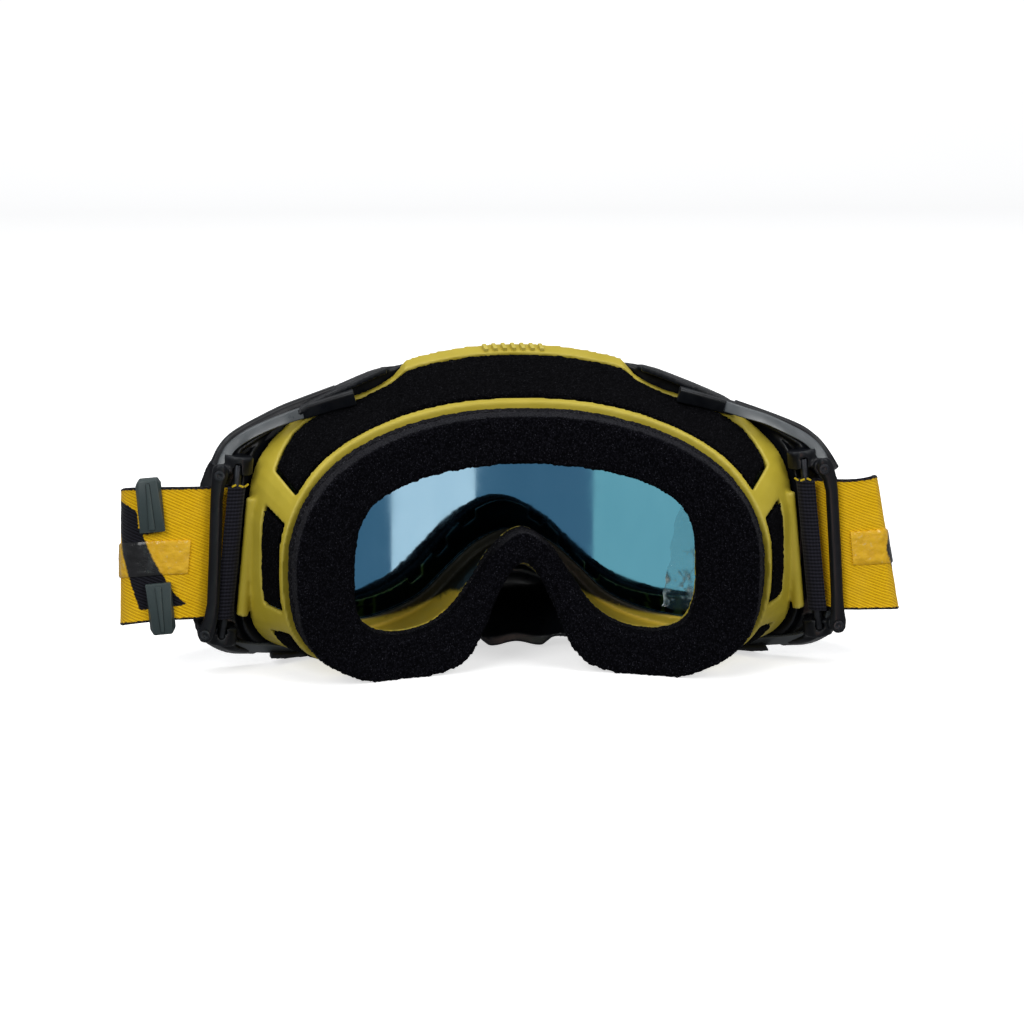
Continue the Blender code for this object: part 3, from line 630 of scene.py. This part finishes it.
face = moulded("face_frame", "face_frame_moulding", YELLOW, "yellow_rubber", 0.6, 3, keep=0.5)
paint_arch_shade_and_highlight(face.data)
moulded("outer_frame", "outer_frame_moulding", BLACK, "black_plastic", 0.6, 2, keep=0.5)
guard = moulded("nose_guard", "nose_guard_moulding", BLACK, "black_plastic", 0.5, 4, keep=1, body="guard")
flared_foot(guard)
for label in ("left", "right"):
    turned(f"strap_pin_{label}", f"pin_{label}", STEEL, "steel")
    turned(f"tear_off_post_{label}", f"post_{label}", BLACK, "black_plastic", edge=0.2)
    for place in ("upper", "lower"):
        turned(f"keeper_screw_{place}_{label}", f"screw_{place}_{label}", STEEL, "steel", edge=0.12)
turned("strap_slider", "slider_body", SLATE, "slate_plastic", body="slider", edge=0.3)


# --- lens and film --------------------------------------------------------------------------------
def fine_sheet(node, name, spacing):
    """A copy cut into narrow upright strips, so that the bend is smooth."""
    made = copy_of(node, name)
    low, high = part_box(node)
    shape = opened(made)
    count = int((high.x - low.x) / (spacing * MM))
    for n in range(1, count):
        cut(shape, (low.x + (high.x - low.x) * n / count, 0, 0), (1, 0, 0))
    closed(shape, made)
    return made


LENS_AXIS = placed(0, LENS_RADIUS - LENS_DEPTH, 0)


def inward_from(point):
    """The level direction from a point to the axis of the lens."""
    return Vector((LENS_AXIS.x - point.x, LENS_AXIS.y - point.y, 0)).normalized()


def bent(made, radii):
    """Puts the points of the bent part exactly on the nearest of the cylinders."""
    for vertex in made.data.vertices:
        out = Vector((vertex.co.x - LENS_AXIS.x, vertex.co.y - LENS_AXIS.y, 0))
        if abs(out.x) < (LENS_BENT_TO - 2) * MM:
            radius = min(radii, key=lambda r: abs(out.length - r * MM)) * MM
            if abs(out.length - radius) < 0.15 * MM:
                out = out.normalized() * radius
                vertex.co.x, vertex.co.y = LENS_AXIS.x + out.x, LENS_AXIS.y + out.y


def calm_mirror(made, radius, rake):
    """Shading normals of a flatter, raked lens on the wearer's side, which steadies what it mirrors."""
    mesh = made.data
    normals = [corner.vector.copy() for corner in mesh.corner_normals]
    for face in mesh.polygons:
        if face.normal.dot(inward_from(face.center)) < 0.7:
            continue
        for loop in face.loop_indices:
            x = mesh.vertices[mesh.loops[loop].vertex_index].co.x - SHIFT.x
            turn = math.asin(x / (radius * MM))
            flat = Vector((-math.sin(turn), math.cos(turn), 0)) * math.cos(rake)
            normals[loop] = flat + Vector((0, 0, math.sin(rake)))
    mesh.normals_split_custom_set(normals)


lens = fine_sheet("lens", "lens_mirror", 2.0)
bent(lens, (LENS_RADIUS - LENS_THICKNESS / 2, LENS_RADIUS + LENS_THICKNESS / 2))
shaded(lens, 35)
calm_mirror(lens, radius=225.0, rake=math.radians(3.1))
dress(lens, LENS, "frame", "blue_lens", "lens")


def waver(x, seed, z, size):
    """Noise from -1 to 1 over a sheet, with features of that size in mm."""
    return noise.noise(Vector((x, seed, z)) / (size * MM))


def film():
    """Protective film over one eye: its free edge is ragged, and it is creased where it peels."""
    made = fine_sheet("lens_film", "film_peeling", 0.8)
    low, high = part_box("lens_film")
    rows, free_width = 70, 13
    shape = opened(made)
    for n in range(1, rows):
        cut(shape, (0, 0, low.z + (high.z - low.z) * n / rows), (0, 0, 1))
    crease_layer = shape.verts.layers.float.new("crease")
    for vertex in shape.verts:
        x, _, z = vertex.co
        edge = max(0.0, 1 - (high.x - x) / (free_width * MM))
        low_down = 1 - smooth(20, 42, z / MM)
        loose = max(0.15 * edge, low_down)
        folds = abs(waver(x, 0, z, 5))
        fine = abs(waver(x, 9, z, 1.8))
        lift = (folds * 2.6 + fine * 0.8) * loose + 0.6 * edge**3 * loose
        ragged = waver(0, 3, z, 6) * 3.0 + waver(0, 5, z, 1.4)
        inward = inward_from(vertex.co)
        vertex.co = vertex.co + inward * (lift * MM) + Vector(((ragged - 1.6) * edge**2 * MM, 0, 0))
        patch = smooth(0.1, 0.4, waver(x * 1.6, 2, z, 7))
        line = 1 - min(1.0, folds * 14)
        creased = loose * (0.15 + 0.5 * line + 0.7 * patch * (0.4 + fine)) + 0.7 * edge**14
        vertex[crease_layer] = min(1.0, creased)
    closed(shape, made)
    shaded(made, 60)
    dress(made, FILM, "frame", "clear_film", "lens_film")


film()


# --- strap ----------------------------------------------------------------------------------------
LOOP = PIN_RADIUS + 0.35 + STRAP_THICKNESS / 2
BENDS = {1: (123.4, 0.03), -1: (114.4, 0.2)}  # how far out each bend lies, and its lean, by side
# The middle line of half the strap, (x, y): round the pin, out to the bend, then forwards and across.
HALF_STRAP = [(PIN_X + 2.4, 1), (PIN_X, 1)]
HALF_STRAP += [(PIN_X - LOOP * math.sin(n * math.pi / 4), math.cos(n * math.pi / 4)) for n in (1, 2, 3)]
HALF_STRAP += [(PIN_X, -1)]
HALF_STRAP = [(x, PIN_Y + LOOP * y) for x, y in HALF_STRAP]
HALF_STRAP += [
    (92.8, 10.6), (95.6, 12.0), (98.8, 13.1), (102.5, 13.6), (107.5, 13.6), (112.5, 13.6), (117.3, 13.2),
    (121, 10.2), (122.2, 4.6), (120.5, -2.5), (115, -11), (106, -21), (93, -33), (76, -46), (54, -58),
    (28, -66.5), (0, -69.5),
]
# Places on it: where the near layer is bare, the bend, its end, and where the strap lies in front.
BARE, AT_BEND, PAST_BEND, IN_FRONT = 9, 14, 17, 19
NEAR_Y = 13.6
LINE_STEPS, LOOK_AHEAD = 12, 0.02  # samples from place to place, and the reach of a tangent


def half_strap(side):
    """The middle line on one side, pulled out to that side's bend."""
    pull = BENDS[side][0] - HALF_STRAP[AT_BEND][0]
    knots = []
    for n, (x, y) in enumerate(HALF_STRAP):
        share = smooth(BARE, AT_BEND, n) * (1 - smooth(AT_BEND, IN_FRONT, n))
        knots.append((side * (x + pull * share), y))
    return knots


def strap_line(first=0):
    """(point, left-hand normal, mm along, place from the nearer end) along the strap."""
    places = 2 * (len(HALF_STRAP) - 1)
    knots = [(n, *point) for n, point in enumerate(half_strap(1) + half_strap(-1)[-2::-1])]
    found, length, last = [], 0.0, None
    for n in range(places * LINE_STEPS + 1):
        t = n / LINE_STEPS
        here = Vector(hermite(knots, t))
        ahead = Vector(hermite(knots, min(t + LOOK_AHEAD, places)))
        behind = Vector(hermite(knots, max(t - LOOK_AHEAD, 0)))
        along = (ahead - behind).normalized()
        length += (here - last).length if last else 0.0
        last = here
        if first <= t <= places - first:
            found.append((here, Vector((-along.y, along.x)), length, min(t, places - t)))
    return found


def strap_point(sample, level, offset):
    """A point of the strap: level above its bottom edge and offset to the left of its middle, mm."""
    here, normal, _, t = sample
    x, y = here + normal * offset
    side = 1 if here.x > 0 else -1
    slope = (STRAP_LOW - STRAP_FRONT_LOW) / (NEAR_Y - HALF_STRAP[-1][1])
    bottom = STRAP_LOW - (slope * (NEAR_Y - here.y) if t > BARE + 1 else 0)
    z = bottom + level
    lean = LEAN + (BENDS[side][1] - LEAN) * smooth(BARE, AT_BEND, t)
    lean *= 1 - smooth(AT_BEND, IN_FRONT, t)
    flare = 1.6 * smooth(BARE, AT_BEND, t) * (1 - smooth(AT_BEND, PAST_BEND, t))
    up = level / STRAP_WIDTH
    return placed(x + side * lean * (LEAN_LEVEL - z), y, z + flare * (up if side < 0 else up - 1))


# Generic printed shapes on the part of the strap next to the helmet, (x, z) in mm, by side.
GRAPHICS = {
    1: [
        (127, 55), (121.5, 53.5), (118, 51.4), (117.9, 46.4), (109.9, 45.5), (116.6, 44.4), (113.6, 37),
        (107.4, 26), (103.3, 22.5), (118, 21), (121, 30), (123, 38), (124, 46),
    ],
    -1: [(-126, 48), (-115, 42.3), (-113.4, 37), (-117, 28), (-121, 24), (-126, 24)],
}


def graphic_distance(point):
    """Distance to the printed shape in mm, below zero inside it and at most far."""
    far, near_layer, arm_end = 9.0, 6, 97
    x, z = (point.x - SHIFT.x) / MM, point.z / MM
    if point.y - SHIFT.y < near_layer * MM or abs(x) < arm_end:
        return far
    outline = GRAPHICS[1 if x > 0 else -1]
    inside, nearest = False, far
    for (ax, az), (bx, bz) in zip(outline, outline[1:] + outline[:1]):
        dx, dz = bx - ax, bz - az
        t = min(1.0, max(0.0, ((x - ax) * dx + (z - az) * dz) / (dx * dx + dz * dz)))
        nearest = min(nearest, math.hypot(x - ax - t * dx, z - az - t * dz))
        if (az > z) != (bz > z) and x < ax + (z - az) * dx / dz:
            inside = not inside
    return -nearest if inside else nearest


def band(name, samples, section, materials):
    """A closed band: section is a loop of (level, offset, material number) round the strap."""
    shape = bmesh.new()
    uv_layer = shape.loops.layers.uv.new("strap")
    graphic_layer = shape.verts.layers.float.new("graphic")
    grid = []
    for sample in samples:
        row = []
        for level, offset, _ in section:
            crimp = 0.12 * noise.noise(Vector((sample[2] / 1.6, level / 3, 4)))
            vertex = shape.verts.new(strap_point(sample, level, offset + crimp))
            vertex[graphic_layer] = graphic_distance(vertex.co)
            row.append(vertex)
        grid.append(row)
    count = len(section)
    for a, b, first, second in zip(grid, grid[1:], samples, samples[1:]):
        for j in range(count):
            k = (j + 1) % count
            face = shape.faces.new((a[j], b[j], b[k], a[k]))
            face.material_index = section[j][2]
            corners = ((first, j), (second, j), (second, k), (first, k))
            for loop, (sample, place) in zip(face.loops, corners):
                loop[uv_layer].uv = (sample[2], section[place][0])
    for end in (grid[0], grid[-1]):
        shape.faces.new(end if end is grid[-1] else end[::-1]).material_index = section[0][2]
    bmesh.ops.recalc_face_normals(shape, faces=shape.faces)
    made = object_from(shape, name)
    for look in materials:
        made.data.materials.append(look)
    shaded(made, 60)
    return made


def half_thickness(level):
    """Of the webbing: a bead along each selvedge, rounded off at its outermost edge."""
    edge = min(level, STRAP_WIDTH - level)
    bead = 0.12 if edge < 0.9 else 0
    rounding = 0.2 if edge < 0.3 else 0
    return STRAP_THICKNESS / 2 + bead - rounding


def webbing():
    """The strap: a thin core with thicker, rounded selvedges. Its left-hand face is the yellow one."""
    columns = 46
    levels = [0.25, 0.7, 1.1] + [1.1 + (STRAP_WIDTH - 2.2) * n / columns for n in range(1, columns)]
    levels += [STRAP_WIDTH - 1.1, STRAP_WIDTH - 0.7, STRAP_WIDTH - 0.25]
    thick = [half_thickness(level) for level in levels]
    section = [(level, deep, 0) for level, deep in zip(levels, thick)]
    section += [(STRAP_WIDTH, 0.0, 1)]
    section += [(level, -deep, 1) for level, deep in zip(levels[::-1], thick[::-1])]
    section += [(0.0, 0.0, 1)]
    made = band("strap_webbing", strap_line(), section, (TWILL, REVERSE))
    return dress(made, None, "frame", "yellow_webbing", "strap")


def grip():
    """The silicone band printed on the yellow face, with a rounded and slightly wavy edge."""
    low, high, columns = 14.5, 25.0, 16
    inner, outer = STRAP_THICKNESS / 2 + 0.02, STRAP_THICKNESS / 2 + 0.62
    rounding = 0.3
    levels = [low + (high - low) * n / columns for n in range(columns + 1)]
    section = [(level, outer - (rounding if n in (0, columns) else 0), 0) for n, level in enumerate(levels)]
    section += [(level, inner, 0) for level in levels[::-1]]
    made = band("strap_silicone", strap_line(first=BARE), section, (SILICONE,))
    return dress(made, None, "frame", "clear_silicone", "silicone_grip")


webbing()
grip()


# --- small mouldings ------------------------------------------------------------------------------
def block(name, size, edge, taper=0.0):
    """A small rounded block centred on its own origin, narrower at its top by taper."""
    shape = bmesh.new()
    bmesh.ops.create_cube(shape, size=1)
    for vertex in shape.verts:
        x, y, z = vertex.co
        narrow = 1 - taper * (z + 0.5)
        vertex.co = Vector((x * size[0] * narrow, y * size[1] * narrow, z * size[2])) * MM
    bmesh.ops.bevel(shape, geom=shape.edges[:], offset=edge * MM, segments=2, affect="EDGES", profile=0.6)
    return object_from(shape, name)


def set_block(made, where, turn, look, slot, body):
    """Turns a block and puts it in its place."""
    made.location = where
    made.rotation_euler = turn
    bpy.context.view_layer.update()
    made.data.transform(made.matrix_world)
    made.location = (0, 0, 0)
    made.rotation_euler = (0, 0, 0)
    shaded(made, 40)
    return dress(made, look, body, slot)


def lip_ribs():
    """A generic row of moulded ribs on the top lip."""
    slope = math.atan2(95.6 - 82.0, 34.2)  # of the lip, down towards the wearer
    count, pitch = 7, 3.0
    top, droop, behind_lens = 95.9, 0.0035, 4.2
    turn = (-slope, 0, math.radians(12))
    for n in range(count):
        x = (n - (count - 1) / 2) * pitch
        rib = block(f"lip_rib_{n + 1}", (1.3, 3.6, 1.7), 0.2)
        where = placed(x, lens_y(x) + behind_lens, top - droop * x * x)
        set_block(rib, where, turn, YELLOW, "yellow_rubber", "frame")


def slider_ridges():
    """The raised spine along each tab of the slider."""
    low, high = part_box("strap_slider")
    middle = (low + high) / 2
    lean, proud = math.radians(4.5), 0.05
    for reach, half_turn, label in ((16.0, 0, "upper"), (-16.0, math.pi, "lower")):
        ridge = block(f"slider_spine_{label}", (2.0, 1.2, 14.5), 0.5, taper=0.35)
        centre = middle + Vector((reach * math.sin(lean) * MM, 0, reach * MM))
        centre.y = high.y + proud * MM
        set_block(ridge, centre, (0, lean + half_turn, 0), SLATE, "slate_plastic", "slider")


def bar(name, path, section, side):
    """A moulded bar along path (x, y, z, half width), mirrored by side. section is (across, back) pairs."""
    shape = bmesh.new()
    points = [Vector(p[:3]) for p in path]
    rows = []
    for n, (point, knot) in enumerate(zip(points, path)):
        along = (points[min(n + 1, len(points) - 1)] - points[max(n - 1, 0)]).normalized()
        across = along.cross(Vector((0, 1, 0))).normalized()
        rows.append([])
        for share, back in section:
            place = point + across * share * knot[3] + Vector((0, back, 0))
            rows[-1].append(shape.verts.new(placed(side * place.x, place.y, place.z)))
    count = len(section)
    for a, b in zip(rows, rows[1:]):
        for j in range(count):
            k = (j + 1) % count
            shape.faces.new((a[j], b[j], b[k], a[k]))
    shape.faces.new(rows[0])
    shape.faces.new(rows[-1])
    bmesh.ops.recalc_face_normals(shape, faces=shape.faces)
    made = object_from(shape, name)
    bevelled(made, 0.35, corner=24)
    shaded(made, 30)
    return made


def curve_through(knots):
    """Points on a smooth curve through (x, y, z, half width) knots."""
    steps = 6
    numbered = [(n, *knot) for n, knot in enumerate(knots)]
    return [tuple(hermite(numbered, n / steps)) for n in range((len(knots) - 1) * steps + 1)]


# Sections of the bars, (across in half widths, back in mm), then their paths, (x, y, z, half width) in mm.
PLATE = [(-1, -3.0), (-1, -0.6), (-0.8, -0.2), (0.5, 0.9), (0.75, 0.8), (1, 0.1), (1, -3.0)]
EDGE = [(-3.6, -4.0), (-3.6, 1.2), (-0.3, 0.3), (0.6, 0.0), (1, -0.9), (1, -5.0)]
RAIL = [(-1, -3.0), (-1, 0.4), (-0.85, 0.7), (0.9, -0.6), (1, -0.9), (1, -3.0)]
ROUNDED = [(-1, -1.0), (-1, 0.3), (-0.5, 1.2), (0.5, 1.2), (1, 0.3), (1, -1.0)]
BROW_PLATE = [(51.2, -10.5, 82.9, 2.5), (58.5, -8.5, 81.2, 2.4), (68.0, -4.0, 79.0, 2.2)]
BROW_RAIL = {
    "left": [
        (67.4, -3.4, 79.1, 1.7), (72.9, 1.0, 77.9, 1.6), (79.0, 4.5, 76.0, 1.5), (84.5, 7.5, 73.7, 1.5),
        (89.1, 9.0, 70.6, 1.5), (91.2, 10.5, 67.4, 1.6), (92.5, 12.0, 63.9, 1.7),
    ],
    "right": [
        (65.0, -3.4, 79.9, 1.7), (70.5, 1.0, 78.4, 1.6), (76.9, 4.5, 76.7, 1.5), (82.8, 7.5, 74.2, 1.5),
        (88.5, 9.0, 71.2, 1.5), (92.0, 10.5, 67.9, 1.6), (94.0, 12.0, 64.1, 1.7),
    ],
}
BROW_EDGE = {
    "left": [
        (57.0, -14, 84.9, 1.1), (66.5, -11, 81.4, 1.5), (73.9, -7, 79.0, 1.6), (81.2, -2.5, 76.0, 1.6),
        (86.6, 1, 73.5, 1.6), (90.0, 4, 71.4, 1.6), (92.5, 7, 68.7, 1.6), (94.5, 10, 65.1, 1.5),
    ],
    "right": [
        (69.6, -12, 79.1, 1.3), (76.7, -8, 76.6, 1.6), (83.8, -4, 74.2, 1.6), (88.7, 0, 72.3, 1.6),
        (91.7, 3, 70.3, 1.6), (93.5, 6, 68.4, 1.6), (95.4, 9, 65.5, 1.6), (97.6, 11, 61.8, 1.5),
    ],
}
FOOT_RAIL = [
    (97.0, 12.5, 17.0, 1.7), (96.2, 11.0, 12.8, 1.7), (92.4, 8.0, 9.0, 1.7), (86.3, 5.0, 6.7, 1.6),
    (77.1, 0.0, 4.9, 1.5), (71.0, -3.0, 4.2, 1.4),
]
KEEPER_Y = 16.2
KEEPER_BAR = {  # (x, z, half width), all at the same depth
    "left": [
        (92.4, 66.2, 1.2), (92.5, 65.2, 2.2), (92.7, 63.0, 2.5), (93.3, 60.0, 2.1), (93.8, 56.0, 1.9),
        (94.7, 37.0, 1.9), (95.5, 23.0, 1.9), (96.4, 18.0, 2.1), (97.6, 14.8, 2.5), (98.2, 12.4, 2.2),
        (98.4, 11.2, 1.2),
    ],
    "right": [
        (92.6, 66.2, 1.2), (92.8, 65.2, 2.2), (93.6, 63.0, 2.5), (94.8, 60.0, 2.1), (95.6, 56.0, 1.9),
        (97.0, 37.0, 1.9), (97.9, 23.0, 1.9), (98.2, 18.0, 2.1), (98.4, 14.8, 2.5), (98.6, 12.4, 2.2),
        (98.8, 11.2, 1.2),
    ],
}


def arm_bars():
    """The chamfered rails along the rear edge of each side arm, and the keeper between them."""
    for side, label in ((1, "left"), (-1, "right")):
        keeper = [(x, KEEPER_Y, z, half) for x, z, half in KEEPER_BAR[label]]
        pieces = (
            (f"brow_plate_{label}", BROW_PLATE, PLATE, ()),
            (f"brow_rail_{label}", curve_through(BROW_RAIL[label]), RAIL, ()),
            (f"brow_edge_{label}", curve_through(BROW_EDGE[label]), EDGE, ()),
            (f"foot_rail_{label}", curve_through(FOOT_RAIL), RAIL, ()),
            (f"keeper_bar_{label}", keeper, ROUNDED, (f"strap_keeper_{label}",)),
        )
        for name, path, section, replaced in pieces:
            # the rails take the paler copy of the black plastic: a painted highlight
            look = BLACK_RAIL_PAINTED_HIGHLIGHT if section is RAIL else BLACK
            dress(bar(name, path, section, side), look, "frame", "black_plastic", *replaced)


def strap_tufts():
    """Yellow thread ends at the top of each roll of webbing on its pin."""
    top = STRAP_LOW + STRAP_WIDTH + 0.3
    leaned = LEAN * (LEAN_LEVEL - top)
    spots = ((90.8, 15.2, 25), (88.6, 16.2, -20), (87.0, 14.6, 35))  # x, y and turn in degrees
    for side, label in ((1, "left"), (-1, "right")):
        for n, (x, y, turn) in enumerate(spots):
            tuft = block(f"strap_thread_{label}_{n + 1}", (1.5, 0.5, 0.6), 0.15)
            where = placed(side * (x + leaned), y, top)
            set_block(tuft, where, (0, math.radians(side * turn), 0), TWILL_THREAD, "yellow_webbing", "frame")


lip_ribs()
slider_ridges()
arm_bars()
strap_tufts()


# --- studio ---------------------------------------------------------------------------------------
def floor_and_backdrop():
    """A pale floor that curves up into a backdrop on the far side."""
    look = Look("studio_pale", Roughness=0.9, Specular_IOR_Level=0.1)
    look.colour(look.ramp(look.grain(300, 2), (0.3, (0.93, 0.93, 0.93)), (0.7, (0.95, 0.95, 0.95))))
    look.shader.inputs["Emission Color"].default_value = (1, 1, 1, 1)
    look.shader.inputs["Emission Strength"].default_value = 0.62
    near, reach, wide, height = 3.0, 2.2, 4.0, 3.0
    curve, steps = 0.5, 12
    profile = [(near, 0.0), (-reach, 0.0)]
    for n in range(1, steps + 1):
        angle = n * math.pi / (2 * steps)
        profile.append((-reach - curve * math.sin(angle), curve * (1 - math.cos(angle))))
    profile.append((-reach - curve, height))
    shape = bmesh.new()
    grid = [[shape.verts.new((x, y, z)) for y, z in profile] for x in (-wide, wide)]
    for j in range(len(profile) - 1):
        shape.faces.new((grid[0][j], grid[0][j + 1], grid[1][j + 1], grid[1][j]))
    made = object_from(shape, "studio_floor")
    made.data.materials.append(look.made)
    made.visible_glossy = False
    made.visible_diffuse = False
    shaded(made)


def softbox(name, place, size, power):
    """A soft lamp that faces the goggles and is not seen itself. Place and size are in metres."""
    target = Vector((0, 0, 0.04))
    light = bpy.data.lights.new(name, "AREA")
    light.shape = "RECTANGLE"
    light.size, light.size_y = size
    light.energy = power
    made = bpy.data.objects.new(name, light)
    SCENE.collection.objects.link(made)
    made.location = place
    made.rotation_euler = (target - Vector(place)).to_track_quat("-Z", "Y").to_euler()
    made.visible_camera = False


def card(name, low, high, strength, colour):
    """An upright glowing card behind the wearer's side, seen only in reflections such as the lens's."""
    shape = bmesh.new()
    (left, near, bottom), (right, far, top) = low, high
    corners = [(left, near, bottom), (right, far, bottom), (right, far, top), (left, near, top)]
    shape.faces.new([shape.verts.new(Vector(p) * MM) for p in corners])
    made = object_from(shape, name)
    look = bpy.data.materials.new(name)
    look.use_nodes = True
    shader = look.node_tree.nodes["Principled BSDF"]
    shader.inputs["Base Color"].default_value = (0, 0, 0, 1)
    shader.inputs["Emission Color"].default_value = (*colour, 1)
    shader.inputs["Emission Strength"].default_value = strength
    made.data.materials.append(look)
    for rays in ("camera", "diffuse", "shadow", "transmission", "volume_scatter"):
        setattr(made, f"visible_{rays}", False)


floor_and_backdrop()
card("card_left", (-87, 300, -60), (-43, 300, 90), 4.3, (1.0, 0.6, 0.48))
card("card_right", (14, 300, -60), (80, 300, 90), 1.5, (0.9, 1.0, 0.8))
card("card_wide", (-190, 306, -60), (150, 306, 110), 0.5, (0.85, 1.0, 1.1))
softbox("key_left", (0.9, 1.5, 1.1), (0.9, 0.9), 15)
softbox("key_right", (-1.1, 1.3, 1.0), (0.9, 0.9), 11)
softbox("top", (0, -0.1, 1.6), (1.8, 1.4), 15)

world = bpy.data.worlds.new("studio")
SCENE.world = world
world.use_nodes = True
world.node_tree.nodes["Background"].inputs["Color"].default_value = (0.95, 0.97, 1.0, 1)
world.node_tree.nodes["Background"].inputs["Strength"].default_value = 0.25
SCENE.view_settings.view_transform = "Standard"

# --- camera ---------------------------------------------------------------------------------------
AZIMUTH, ELEVATION, DISTANCE, LENS_MM = math.radians(176), math.radians(10), 0.85, 95.4
TARGET = Vector((-0.0001, 0.0135, 0.0477))
camera_data = bpy.data.cameras.new("camera")
camera_data.lens = LENS_MM
camera_data.sensor_width = 36.0
camera = bpy.data.objects.new("camera", camera_data)
SCENE.collection.objects.link(camera)
towards = Vector((
    math.sin(AZIMUTH) * math.cos(ELEVATION), -math.cos(AZIMUTH) * math.cos(ELEVATION), math.sin(ELEVATION),
))
camera.location = TARGET + towards * DISTANCE
camera.rotation_euler = (-towards).to_track_quat("-Z", "Y").to_euler()
SCENE.camera = camera
